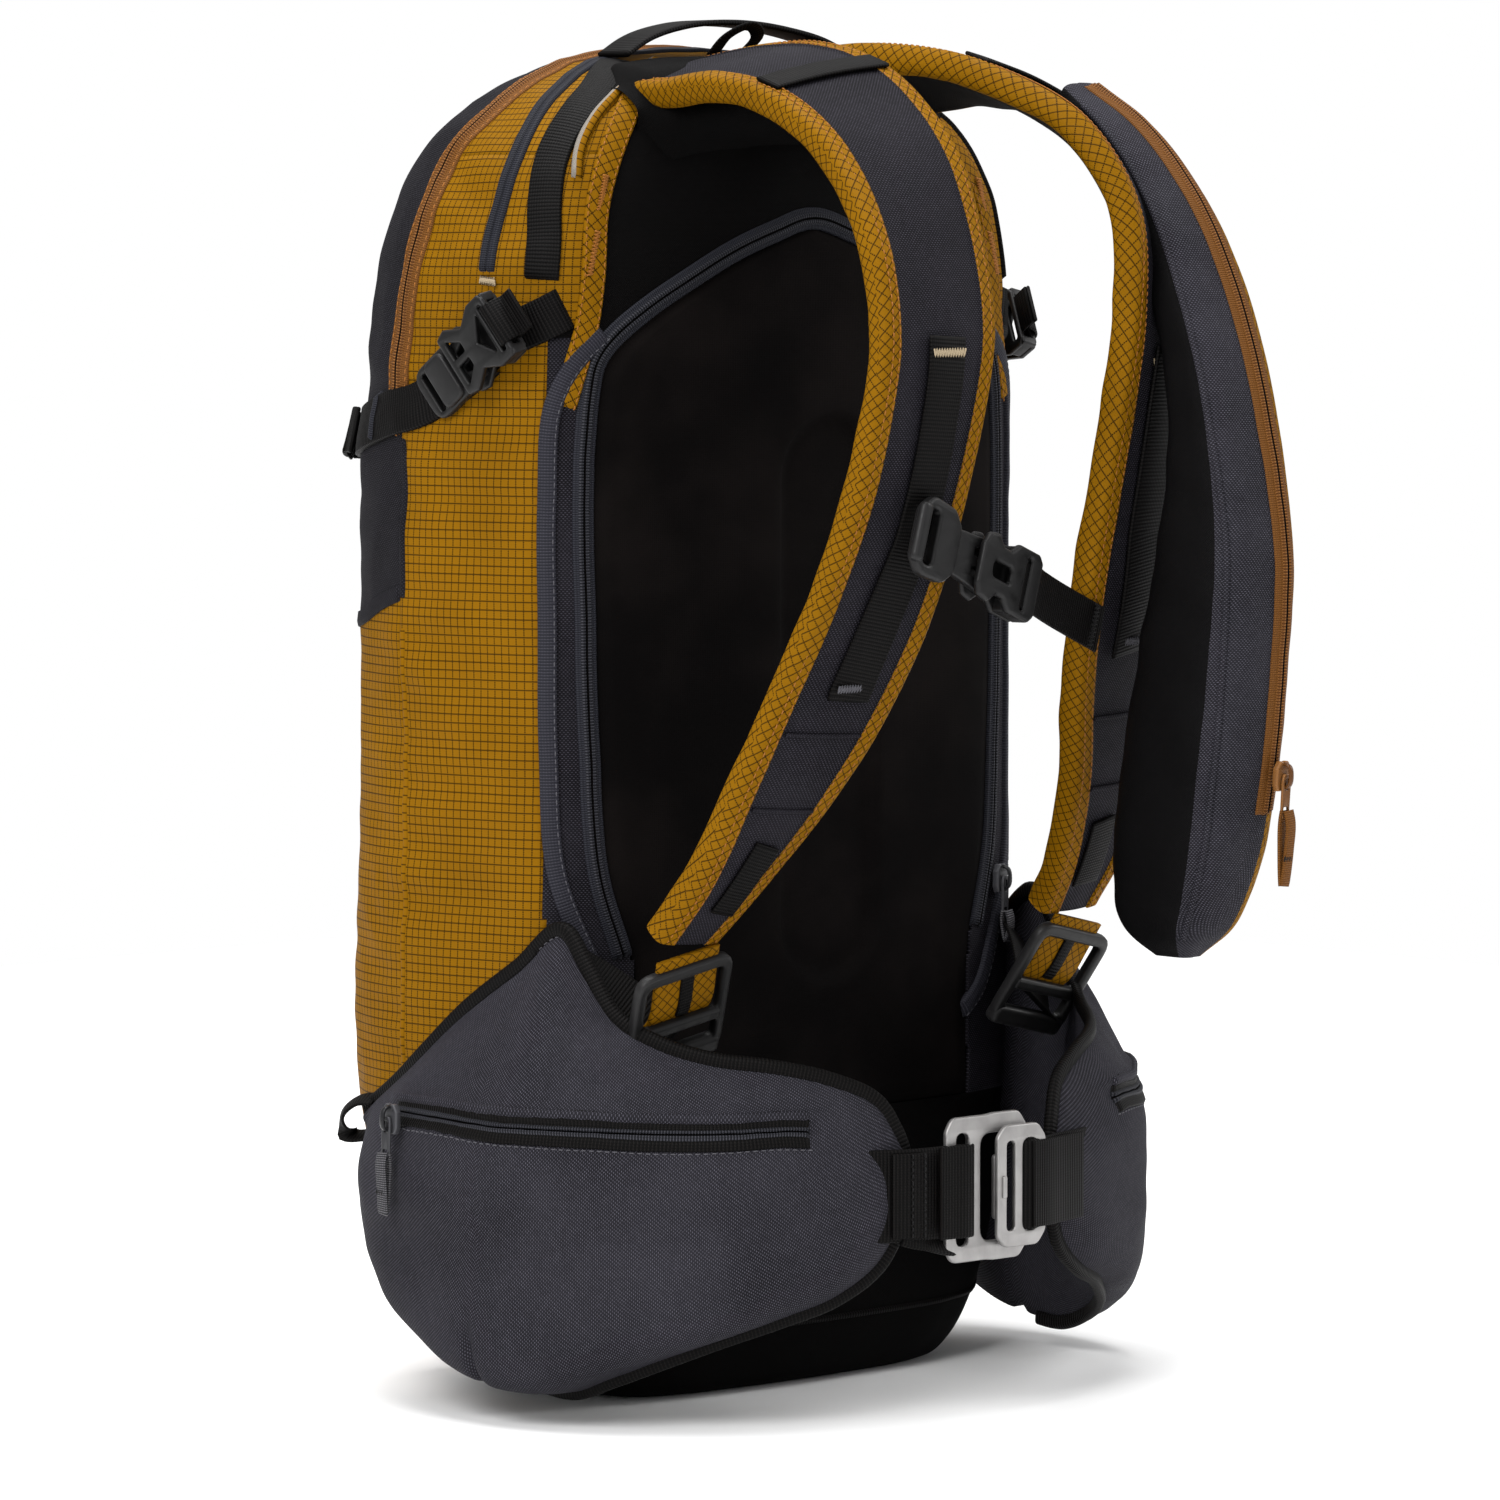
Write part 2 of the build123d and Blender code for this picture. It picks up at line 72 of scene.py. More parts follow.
def smooth(points, count, closed=False):
    """Evenly spaced points on a smooth curve through the given points, in any dimension."""
    knots = arr(points)
    if closed:
        knots = np.vstack([knots[-1:], knots, knots[:2]])
    runs = np.diff(knots, axis=0)
    length = np.maximum(np.linalg.norm(runs, axis=1, keepdims=True), 1e-9)
    slope = runs / length
    inner = (length[:-1] * slope[1:] + length[1:] * slope[:-1]) / (length[:-1] + length[1:])
    tangent = np.vstack([slope[:1], inner, slope[-1:]])
    t = np.linspace(0, 1, 25)[:, None]
    dense = []
    first = 1 if closed else 0
    last = len(knots) - 2 if closed else len(knots) - 1
    for i in range(first, last):
        h00 = 2 * t**3 - 3 * t**2 + 1
        h10 = t**3 - 2 * t**2 + t
        h01 = -2 * t**3 + 3 * t**2
        h11 = t**3 - t**2
        piece = (h00 * knots[i] + h10 * length[i] * tangent[i]
                 + h01 * knots[i + 1] + h11 * length[i] * tangent[i + 1])
        dense.append(piece[:-1])
    dense.append(knots[last:last + 1])
    line = resample(np.vstack(dense), count + 1 if closed else count)
    return line[:-1] if closed else line


def ease(value, low, high):
    """0 below low, 1 above high, smooth between; low may be the larger."""
    t = np.clip((value - low) / (high - low), 0, 1)
    return t * t * (3 - 2 * t)


def noise_at(points, size, seed=0.0):
    """Smooth noise from -1 to 1 at each point, with features of a size in millimetres."""
    flat = points.reshape(-1, 3) / size + seed
    values = [noise.noise(Vector(p)) for p in flat.tolist()]
    return arr(values).reshape(points.shape[:-1])


def normals_of(grid_points, closed=False):
    """Unit normals of a grid of points."""
    if closed:
        du = np.roll(grid_points, -1, 1) - np.roll(grid_points, 1, 1)
    else:
        du = np.gradient(grid_points, axis=1)
    dv = np.gradient(grid_points, axis=0)
    return unit(np.cross(du, dv))


def make_mesh(name, verts, faces, uvs, materials, face_slots=None, flat=False):
    """A welded mesh object from points in millimetres; the UV map is in millimetres too."""
    mesh = bpy.data.meshes.new(name)
    mesh.from_pydata((arr(verts) * MM).tolist(), [], [list(f) for f in faces])
    layer = mesh.uv_layers.new(name="UVMap")
    corner = np.empty(len(mesh.loops), dtype=np.int32)
    mesh.loops.foreach_get("vertex_index", corner)
    layer.data.foreach_set("uv", arr(uvs)[corner].ravel())
    for material in materials:
        mesh.materials.append(material)
    if face_slots is not None:
        mesh.polygons.foreach_set("material_index", arr(face_slots).astype(np.int32))
    work = bmesh.new()
    work.from_mesh(mesh)
    bmesh.ops.remove_doubles(work, verts=work.verts, dist=2e-6)
    loose = [v for v in work.verts if not v.link_faces]
    bmesh.ops.delete(work, geom=loose, context="VERTS")
    work.to_mesh(mesh)
    work.free()
    mesh.polygons.foreach_set("use_smooth", [not flat] * len(mesh.polygons))
    obj = bpy.data.objects.new(name, mesh)
    bpy.context.scene.collection.objects.link(obj)
    return obj


def grid_faces(rows, cols, flip=False):
    r, c = np.meshgrid(np.arange(rows - 1), np.arange(cols - 1), indexing="ij")
    a = (r * cols + c).ravel()
    quads = np.stack([a, a + 1, a + cols + 1, a + cols], axis=1)
    return quads[:, ::-1] if flip else quads


def grid_uv(points):
    """Arc lengths in millimetres across and along a grid."""
    across = np.linalg.norm(np.diff(points, axis=1), axis=2)
    along = np.linalg.norm(np.diff(points, axis=0), axis=2)
    u = np.concatenate([np.zeros((len(points), 1)), np.cumsum(across, axis=1)], axis=1)
    u = u - u.mean(axis=1, keepdims=True)
    v = np.concatenate([np.zeros((1, points.shape[1])), np.cumsum(along, axis=0)], axis=0)
    v = np.repeat(v.mean(axis=1, keepdims=True), points.shape[1], axis=1)
    return np.stack([u, v], axis=2).reshape(-1, 2)


def grid_object(name, points, materials, slots=None, flip=False, uvs=None):
    rows, cols = points.shape[:2]
    uvs = grid_uv(points) if uvs is None else uvs
    faces = grid_faces(rows, cols, flip=flip)
    return make_mesh(name, points.reshape(-1, 3), faces, uvs, materials, slots)


def sweep(name, path, side, up, section, materials, slot_of=None, caps=True):
    """A closed section carried along a path; section is (count, 2) or (rows, count, 2)."""
    section = arr(section)
    if section.ndim == 2:
        section = np.repeat(section[None], len(path), axis=0)
    section = np.concatenate([section, section[:, :1]], axis=1)
    points = (path[:, None] + side[:, None] * section[..., :1] + up[:, None] * section[..., 1:])
    rows, cols = points.shape[:2]
    faces = grid_faces(rows, cols).tolist()
    slots = [slot_of(i % (cols - 1)) if slot_of else 0 for i in range(len(faces))]
    if caps:
        faces.append(list(range(cols - 1))[::-1])
        faces.append([(rows - 1) * cols + i for i in range(cols - 1)])
        slots += [slots[0], slots[0]]
    return make_mesh(name, points.reshape(-1, 3), faces, grid_uv(points), materials, slots)


def tangents(path):
    return unit(np.gradient(path, axis=0))


def flat_section(width, thick, corner=None):
    """A rounded rectangle, wide across and thin up, standing on its lower face."""
    corner = thick * 0.5 if corner is None else corner
    half = width / 2
    points = []
    centres = [(half - corner, thick - corner, 0), (-half + corner, thick - corner, 90),
               (-half + corner, corner, 180), (half - corner, corner, 270)]
    for cx, cy, start in centres:
        for step in (0, 45, 90):
            angle = math.radians(start + step)
            points.append((cx + corner * math.cos(angle), cy + corner * math.sin(angle)))
    return points


def round_section(radius, count=10):
    turn = np.linspace(0, 2 * math.pi, count, endpoint=False)
    return np.stack([radius * np.cos(turn), radius * np.sin(turn)], axis=1)


def ribbon(name, path, up, width, thick, material, lift=0.0):
    """Webbing or tape along a path, lying on the surface whose normals are up."""
    along = tangents(path)
    side = unit(np.cross(along, up))
    up = unit(np.cross(side, along))
    return sweep(name, path + up * lift, side, up, flat_section(width, thick), [material])


def tube(name, path, radius, material, count=10):
    along = tangents(path)
    rough_up = np.tile([0.0, 0.0, 1.0], (len(path), 1))
    rough_up[np.abs(along[:, 2]) > 0.9] = (0, 1, 0)
    side = unit(np.cross(along, rough_up))
    up = np.cross(side, along)
    return sweep(name, path, side, up, round_section(radius, count), [material])


def mirror_points(points):
    flipped = arr(points).copy()
    flipped[..., 0] *= -1
    return flipped


def mirror_object(obj, name):
    """A copy on the other side of the bag."""
    copy = obj.copy()
    copy.data = obj.data.copy()
    copy.name = name
    bpy.context.scene.collection.objects.link(copy)
    work = bmesh.new()
    work.from_mesh(copy.data)
    for vertex in work.verts:
        vertex.co.x = -vertex.co.x
    bmesh.ops.reverse_faces(work, faces=work.faces)
    work.to_mesh(copy.data)
    work.free()
    return copy


def stitches(name, path, up, material, pitch=3.2, length=2.2, radius=0.28, lift=0.1):
    """A row of thread stitches lying on a surface."""
    total = np.linalg.norm(np.diff(path, axis=0), axis=1).sum()
    count = max(int(total / pitch), 1)
    both = resample(np.hstack([path, up]), count * 4 + 1)
    centre, normal = both[:, :3], unit(both[:, 3:])
    along = tangents(centre)
    side = unit(np.cross(along, normal))
    verts, faces, uvs = [], [], []
    ring = [(math.cos(a), math.sin(a)) for a in np.linspace(0, 2 * math.pi, 6, endpoint=False)]
    for i in range(2, count * 4, 4):
        base = len(verts)
        for step, size in ((-0.5, 0.35), (-0.32, 1.0), (0.32, 1.0), (0.5, 0.35)):
            sink = lift if abs(step) < 0.4 else lift - radius * 0.8
            for c, s in ring:
                point = (centre[i] + along[i] * step * length + side[i] * c * radius * size
                         + normal[i] * (s * radius * size + sink))
                verts.append(point)
                uvs.append((step * length, c))
        for k in range(3):
            for j in range(6):
                a = base + k * 6 + j
                b = base + k * 6 + (j + 1) % 6
                faces.append((a, b, b + 6, a + 6))
        faces.append(tuple(base + j for j in range(5, -1, -1)))
        faces.append(tuple(base + 18 + j for j in range(6)))
    return make_mesh(name, verts, faces, uvs, [material])


# ---------------------------------------------------------------- materials
STUDIO_GAIN = 0.56  # the studio is bright enough to whiten the floor, so surfaces are set this much darker


def srgb(red, green, blue, gain=STUDIO_GAIN):
    """A colour from 0-255 display values to the linear values that shaders take."""
    out = []
    for value in (red, green, blue):
        value /= 255
        linear = value / 12.92 if value <= 0.04045 else ((value + 0.055) / 1.055) ** 2.4
        out.append(linear * gain)
    return (*out, 1.0)


class Shader:
    """A principled material with short calls for the nodes that feed it."""

    def __init__(self, name, rough, sheen=0.0, metallic=0.0, specular=0.5, coat=0.0):
        self.material = bpy.data.materials.new(name)
        self.material.use_nodes = True
        self.tree = self.material.node_tree
        self.base = self.tree.nodes["Principled BSDF"]
        self.set("Roughness", rough)
        self.set("Metallic", metallic)
        self.set("Specular IOR Level", specular)
        self.set("Sheen Weight", sheen)
        self.set("Sheen Roughness", 0.5)
        self.set("Coat Weight", coat)

    def set(self, socket, value):
        self.base.inputs[socket].default_value = value

    def link(self, source, node, socket):
        self.tree.links.new(source, node.inputs[socket])

    def feed(self, node, socket, value):
        if isinstance(value, bpy.types.NodeSocket):
            self.link(value, node, socket)
        else:
            node.inputs[socket].default_value = value

    def math(self, operation, first, second=0.0, third=0.0):
        node = self.tree.nodes.new("ShaderNodeMath")
        node.operation = operation
        for index, value in enumerate((first, second, third)):
            self.feed(node, index, value)
        return node.outputs[0]

    def uv(self, turn=0.0):
        """The UV map in millimetres, turned by some degrees, as x and y."""
        source = self.tree.nodes.new("ShaderNodeUVMap")
        source.uv_map = "UVMap"
        mapping = self.tree.nodes.new("ShaderNodeMapping")
        mapping.inputs["Rotation"].default_value = (0, 0, math.radians(turn))
        self.link(source.outputs[0], mapping, "Vector")
        split = self.tree.nodes.new("ShaderNodeSeparateXYZ")
        self.link(mapping.outputs[0], split, "Vector")
        return split.outputs[0], split.outputs[1]

    def noise(self, size, detail=3.0, rough=0.5, stretch=(1, 1, 1)):
        """Noise in object space with features of a size in millimetres."""
        source = self.tree.nodes.new("ShaderNodeTexCoord")
        mapping = self.tree.nodes.new("ShaderNodeMapping")
        mapping.inputs["Scale"].default_value = [k / (size * MM) for k in stretch]
        self.link(source.outputs["Object"], mapping, "Vector")
        node = self.tree.nodes.new("ShaderNodeTexNoise")
        node.inputs["Scale"].default_value = 1.0
        node.inputs["Detail"].default_value = detail
        node.inputs["Roughness"].default_value = rough
        self.link(mapping.outputs[0], node, "Vector")
        return node.outputs[0]

    def remap(self, value, low, high, to_low=0.0, to_high=1.0, soft=True):
        node = self.tree.nodes.new("ShaderNodeMapRange")
        node.interpolation_type = "SMOOTHSTEP" if soft else "LINEAR"
        for index, item in enumerate((value, low, high, to_low, to_high)):
            self.feed(node, index, item)
        return node.outputs[0]

    def mix(self, amount, first, second):
        node = self.tree.nodes.new("ShaderNodeMix")
        node.data_type = "RGBA"
        self.feed(node, 0, amount)
        self.feed(node, 6, first)
        self.feed(node, 7, second)
        return node.outputs[2]

    def wave(self, value, period):
        """A sine from 0 to 1 along a coordinate in millimetres."""
        turn = self.math("MULTIPLY", value, 2 * math.pi / period)
        return self.math("MULTIPLY_ADD", self.math("SINE", turn), 0.5, 0.5)

    def lines(self, value, period, width, soft):
        """1 on evenly spaced lines across a coordinate, 0 between them."""
        place = self.math("FRACT", self.math("DIVIDE", value, period))
        away = self.math("ABSOLUTE", self.math("SUBTRACT", place, 0.5))
        away = self.math("MULTIPLY", away, period)
        return self.remap(away, width / 2 + soft, width / 2 - soft)

    def bump(self, height, strength, distance, before=None):
        node = self.tree.nodes.new("ShaderNodeBump")
        node.inputs["Strength"].default_value = strength
        node.inputs["Distance"].default_value = distance * MM
        self.link(height, node, "Height")
        if before is not None:
            self.link(before, node, "Normal")
        return node.outputs[0]

    def finish(self, color=None, normal=None, rough=None):
        if color is not None:
            self.feed(self.base, "Base Color", color)
        if normal is not None:
            self.link(normal, self.base, "Normal")
        if rough is not None:
            self.link(rough, self.base, "Roughness")
        return self.material


def ripstop(name, light, dark, thread, turn=0.0, cell=3.5):
    """Thin coated cloth with a grid of dark threads, solid one way and dashed the other."""
    s = Shader(name, 0.62, sheen=0.0, specular=0.04)
    x, y = s.uv(turn)
    across = s.lines(y, cell, 0.5, 0.2)
    dash = s.lines(y, 0.92, 0.66, 0.16)
    down = s.math("MULTIPLY", s.lines(x, cell, 0.5, 0.2), dash)
    grid = s.math("MAXIMUM", s.math("MULTIPLY", across, 0.88), down)
    patches = s.noise(38, 4)
    cloth = s.mix(s.remap(patches, 0.2, 0.8), dark, light)
    cloth = s.mix(s.math("MULTIPLY", s.noise(0.8, 2), 0.16), cloth, dark)
    color = s.mix(s.math("MULTIPLY", grid, 0.96), cloth, thread)
    weave = s.math("MULTIPLY", s.wave(x, 0.5), s.wave(y, 0.5))
    height = s.math("ADD", s.math("MULTIPLY", grid, 0.7), s.math("MULTIPLY", weave, 0.3))
    crumple = s.bump(s.noise(9, 4, 0.6), 0.35, 0.9)
    rough = s.remap(s.noise(14, 3), 0.3, 0.7, 0.55, 0.7)
    return s.finish(color, s.bump(height, 0.5, 0.16, crumple), rough)


def plain_weave(name, low, high, period=1.35, turn=0.0, depth=0.22, rough=0.66, sheen=0.0):
    """Stout cloth woven from round yarns, with a painted highlight on each yarn crossing."""
    s = Shader(name, rough, sheen=sheen, specular=0.05)
    x, y = s.uv(turn)
    row = s.math("FRACT", s.math("DIVIDE", y, period))
    shift = s.math("MULTIPLY", s.math("GREATER_THAN", row, 0.5), period / 2)
    yarn_x = s.wave(s.math("ADD", x, shift), period)
    yarn_y = s.wave(y, period / 2)
    height = s.math("MULTIPLY", yarn_x, yarn_y)
    slub = s.noise(2.6, 3, 0.6)
    # painted highlight: the colour turns toward the high tone on the raised yarn crossings, broken up by slub
    crossing_highlight = s.math("MULTIPLY", s.remap(height, 0.25, 0.95), s.remap(slub, 0.3, 0.7, 0.55, 1.0))
    worn = tuple(0.88 * a + 0.12 * b for a, b in zip(low, high))
    shade = s.mix(s.remap(s.noise(45, 3), 0.2, 0.8), low, worn)
    color = s.mix(crossing_highlight, shade, high)
    crumple = s.bump(s.noise(16, 3), 0.25, 0.9)
    return s.finish(color, s.bump(height, 0.8, depth, crumple))


def webbing(name, low, high, rib=1.5, rough=0.55):
    """Narrow woven tape: ribs run across it, yarns along it and the edges are bound."""
    s = Shader(name, rough, sheen=0.0, specular=0.07)
    x, y = s.uv()
    ribs = s.wave(y, rib)
    yarns = s.wave(x, 1.1)
    height = s.math("ADD", s.math("MULTIPLY", ribs, 0.75), s.math("MULTIPLY", yarns, 0.25))
    # painted highlight: the colour is lighter on the raised ribs and yarns
    color = s.mix(s.math("MULTIPLY", s.remap(height, 0.45, 1.0), 0.8), low, high)
    return s.finish(color, s.bump(height, 0.7, 0.3))


def soft_mesh(name, low, high, period=0.9):
    """Brushed stretch cloth, close to black, with a very fine hexagonal knit."""
    s = Shader(name, 0.86, sheen=0.0, specular=0.03)
    x, y = s.uv()
    knit = s.math("MULTIPLY", s.wave(x, period), s.wave(y, period * 0.8))
    color = s.mix(s.math("MULTIPLY", s.remap(s.noise(60, 3), 0.35, 0.7), 0.8), low, high)
    crumple = s.bump(s.noise(30, 3), 0.25, 1.4)
    return s.finish(color, s.bump(knit, 0.35, 0.12, crumple))


def moulded(name, low, high, rough=0.42):
    """Moulded plastic with a spark-eroded grain, and a painted highlight that makes its sharp edges a little
    brighter.
    """
    s = Shader(name, rough, specular=0.22)
    geometry = s.tree.nodes.new("ShaderNodeNewGeometry")
    # painted highlight: sharp convex edges (high pointiness) turn toward the high colour
    edge_highlight = s.remap(geometry.outputs["Pointiness"], 0.5, 0.56)
    color = s.mix(s.math("MULTIPLY", edge_highlight, 0.7), low, high)
    grain = s.noise(0.35, 2)
    rough_map = s.remap(s.noise(4, 3), 0.3, 0.7, rough - 0.06, rough + 0.08)
    return s.finish(color, s.bump(grain, 0.18, 0.05), rough_map)


def blasted_metal(name, low, high, rough=0.48, metallic=1.0):
    """Tumbled and bead-blasted aluminium with small handling marks."""
    s = Shader(name, rough, metallic=metallic)
    color = s.mix(s.remap(s.noise(7, 4), 0.2, 0.8), low, high)
    grain = s.noise(0.25, 2)
    marks = s.noise(3, 5, 0.7, (1, 1, 0.15))
    rough_map = s.remap(marks, 0.3, 0.7, rough - 0.02, rough + 0.06)
    return s.finish(color, s.bump(grain, 0.12, 0.04), rough_map)


def thread(name, color):
    s = Shader(name, 0.6, sheen=0.03, specular=0.15)
    x, y = s.uv(35)
    twist = s.wave(x, 0.5)
    shade = s.mix(s.math("MULTIPLY", twist, 0.4), color, tuple(k * 0.5 for k in color[:3]) + (1.0,))
    return s.finish(shade, s.bump(twist, 0.5, 0.08))


YELLOW = srgb(168, 116, 10)
YELLOW_LOW = srgb(156, 107, 7)
GRID_THREAD = srgb(26, 18, 6)
ripstop_square = ripstop("ripstop_yellow", YELLOW, YELLOW_LOW, GRID_THREAD)
ripstop_bias = ripstop("ripstop_bias", YELLOW, YELLOW_LOW, GRID_THREAD, turn=45)
grey_cloth = plain_weave("grey_cloth", srgb(34, 33, 38), srgb(118, 116, 128), period=1.5)
grey_strap = plain_weave("grey_strap_cloth", srgb(24, 23, 27), srgb(92, 89, 100), period=1.6)
grey_panel = plain_weave("grey_panel_cloth", srgb(24, 23, 26), srgb(76, 74, 82), period=1.5, turn=6)
binding_cloth = webbing("binding_tape", srgb(48, 48, 56), srgb(84, 83, 92), rib=1.2)
black_cloth = plain_weave("black_cloth", srgb(5, 4, 4), srgb(20, 18, 18), period=1.0, rough=0.7)
black_lining = plain_weave("black_lining", srgb(13, 12, 13), srgb(34, 33, 34), period=0.8, rough=0.55)
back_mesh = soft_mesh("back_mesh", srgb(14, 12, 12), srgb(30, 26, 25))
black_web = webbing("black_webbing", srgb(8, 7, 7), srgb(34, 31, 30))
zip_tape_grey = webbing("zip_tape_grey", srgb(38, 39, 46), srgb(72, 73, 82), rib=0.9)
zip_tape_brown = webbing("zip_tape_brown", srgb(118, 74, 30), srgb(160, 106, 52), rib=0.9)
coil_grey = webbing("zip_coil_grey", srgb(32, 33, 38), srgb(92, 92, 100), rib=1.2)
coil_brown = webbing("zip_coil_brown", srgb(104, 63, 26), srgb(190, 130, 70), rib=1.2)
plastic = moulded("black_acetal", srgb(13, 13, 13), srgb(52, 51, 52))
slider_metal = moulded("slider_metal", srgb(38, 38, 41), srgb(110, 110, 115), rough=0.33)
slider_brown = moulded("slider_brown", srgb(110, 68, 28), srgb(190, 130, 70), rough=0.36)
alloy = blasted_metal("blasted_alloy", srgb(160, 158, 157, 0.9), srgb(176, 174, 173, 0.9))
thread_orange = thread("orange_thread", srgb(200, 128, 52))
thread_grey = thread("grey_thread", srgb(110, 109, 116))
thread_cream = thread("cream_thread", srgb(226, 204, 168))
thread_black = thread("black_thread", srgb(24, 23, 24))
cream_lining = plain_weave("cream_lining", srgb(168, 160, 150), srgb(205, 198, 188), period=0.7)
pull_cord_grey = webbing("pull_cord_grey", srgb(60, 60, 64), srgb(150, 148, 152), rib=0.9)


# ---------------------------------------------------------------- the bag's skin
PLAN_HALF = [(0, -97), (55, -95), (100, -89), (126, -78), (138, -45), (142, -5), (131, 33),
             (103, 61), (57, 77), (0, 84)]
RING_COUNT = 420
ROW_COUNT = 330
# height, half width, back y, front y
BAG_KEYS = [(0, 0, -30, -28), (0, 50, -62, -8), (0, 88, -86, 12), (2, 95, -90, 19), (8, 104, -93, 30),
            (25, 119, -95.5, 50), (60, 134, -97, 72), (100, 141, -97, 82), (260, 142, -97, 84),
            (380, 142, -97, 81), (420, 141, -97, 76), (465, 138, -95.5, 68), (494, 129, -92, 58),
            (514, 114, -85, 44),
            (528, 95, -70, 28), (538, 68, -52, 8), (543, 34, -36, -8), (544, 0, -23, -21)]
DOOR_LOW = 110.0
DOOR_TOP = 472.0
ARCH = [(96, 108), (98, 180), (109, 212), (114, 264), (116, 316), (117, 365), (115, 398), (110, 417),
        (101, 427), (88, 436), (62, 450), (41, 460), (18, 468), (0, 473)]
SEAM_Y = -6.0
BASE_TOP = 25.0


def bag_rings():
    """The undeformed skin as rings from the middle of the base to the middle of the top."""
    plan = PLAN_HALF + [(-x, y) for x, y in PLAN_HALF[-2:0:-1]]
    ring = smooth(plan, RING_COUNT, closed=True)
    across = ring[:, 0] / 142
    depth = (ring[:, 1] + 97) / 181
    keys = smooth(BAG_KEYS, ROW_COUNT)
    rows = []
    for z, half, back, front in keys:
        rows.append(np.stack([across * half, back + depth * (front - back), np.full(RING_COUNT, z)], axis=1))
    rows = arr(rows)
    return np.concatenate([rows, rows[:, :1]], axis=1)


def crease(points, start, end, width, depth):
    """A soft fold along a straight run between two points."""
    start, end = arr(start), arr(end)
    run = end - start
    t = np.clip(((points - start) @ run) / (run @ run), 0, 1)
    away = np.linalg.norm(points - (start + t[..., None] * run), axis=-1)
    fade = np.sin(np.clip(t, 0.02, 0.98) * math.pi)
    return depth * fade * np.exp(-(away / width) ** 2)


def wrinkle_bag(points):
    """Loaded cloth: broad bulges, fine wrinkles near the seams and pulls round the strap."""
    x, y, z = points[..., 0], points[..., 1], points[..., 2]
    normal = normals_of(points)
    normal[:, 0] = normal[:, -1] = unit(normal[:, 1] + normal[:, -2])
    back = ease(y, -66, -84) * ease(z, 500, 470)
    low = ease(z, 0, 30)
    calm = low * (1 - 0.9 * back)
    amount = 1.7 * noise_at(points, 85, 3.1) * calm
    pulled = points.copy()
    pulled[..., 2] *= 2.6
    near_strap = np.exp(-((z - 412) / 60) ** 2)
    near_seam = np.exp(-((y - SEAM_Y) / 40) ** 2)
    near_base = np.exp(-((z - 36) / 34) ** 2)
    crumple = 0.25 + 0.75 * np.maximum(near_strap, np.maximum(near_seam * 0.7, near_base * 0.6))
    amount += 1.6 * noise_at(pulled, 34, 7.7) * calm * crumple
    fine = 1 - np.abs(noise_at(points, 21, 1.9)) * 2
    amount += 0.7 * fine * calm * crumple
    for side in (-1, 1):
        amount += crease(points, (side * 142, -20, 470), (side * 140, -70, 380), 7, -2.2)
        amount += crease(points, (side * 142, 0, 450), (side * 138, -60, 300), 9, -1.8)
        amount += crease(points, (side * 140, 20, 330), (side * 142, -60, 250), 11, 1.6)
        amount += crease(points, (side * 142, 0, 230), (side * 138, -70, 190), 9, -1.6)
        amount += crease(points, (side * 134, 0, 505), (side * 132, -60, 470), 8, -2.0)
        amount += crease(points, (side * 90, 30, 520), (side * 60, -30, 545), 9, -1.8)
    strap_z = 405 + (20 - y) * 0.09
    inside = ease(y, -52, -30)
    amount -= 2.0 * np.exp(-((z - strap_z) / 15) ** 2) * inside
    amount = np.where(z < 1, 0.0, amount)
    return points + normal * amount[..., None]


rest_rings = bag_rings()
bag_grid = wrinkle_bag(rest_rings)
bag_grid[..., 2] = np.maximum(bag_grid[..., 2], 0.2)


def tree_of(grid_points):
    rows, cols = grid_points.shape[:2]
    return BVHTree.FromPolygons(grid_points.reshape(-1, 3).tolist(), grid_faces(rows, cols).tolist())


def snap(tree, points, outward=None):
    """The nearest points of a surface, and its normals there."""
    found, normal = [], []
    for p in arr(points).reshape(-1, 3):
        place, way, _, _ = tree.find_nearest(Vector(p))
        found.append(place[:])
        normal.append(way[:])
    shape = arr(points).shape
    found, normal = arr(found).reshape(shape), arr(normal).reshape(shape)
    if outward is not None:
        normal = normal * np.sign((normal * outward).sum(-1, keepdims=True) + 1e-12)
    return found, normal


bag_tree = tree_of(bag_grid)


def bag_out(points):
    """A rough outward direction on the bag."""
    middle = points.copy()
    middle[..., 0] *= 0.4
    middle[..., 1] = -8
    middle[..., 2] = np.clip(points[..., 2], 60, 470)
    return unit(points - middle)


def shoulder_out(points):
    return np.broadcast_to(arr([0, -1.0, 0.1]), points.shape)


def laid(name, tree, path, profile, materials, slots=None, out=bag_out, count=None, ends=True, blur=3):
    """A strip that follows a surface. profile is a list of (offset across, height), left to right."""
    total = np.linalg.norm(np.diff(arr(path), axis=0), axis=1).sum()
    count = count or max(int(total / 2.2), 6)
    line = resample(arr(path), count)
    line, normal = snap(tree, line, out(line))
    for _ in range(blur):
        line[1:-1] = (line[:-2] + 2 * line[1:-1] + line[2:]) / 4
        normal[1:-1] = unit(normal[:-2] + 2 * normal[1:-1] + normal[2:])
    side = unit(np.cross(tangents(line), normal))
    offset = arr([p[0] for p in profile])
    height = arr([p[1] for p in profile])
    flat = line[:, None] + side[:, None] * offset[None, :, None]
    base, way = snap(tree, flat, np.repeat(normal[:, None], len(offset), axis=1))
    for _ in range(blur):
        way[1:-1] = unit(way[:-2] + 2 * way[1:-1] + way[2:])
    tall = np.repeat(height[None], count, axis=0)
    if ends:
        tall[0] = tall[-1] = -0.8
        points = base + way * tall[..., None]
        points[0] += tangents(line)[0] * 0.2
    else:
        points = base + way * tall[..., None]
    cols = len(offset)
    face_slots = None if slots is None else list(slots) * (count - 1)
    uvs = grid_uv(points).reshape(count, cols, 2)
    uvs[..., 0] = offset[None]
    return grid_object(name, points, materials, face_slots, flip=True, uvs=uvs.reshape(-1, 2))


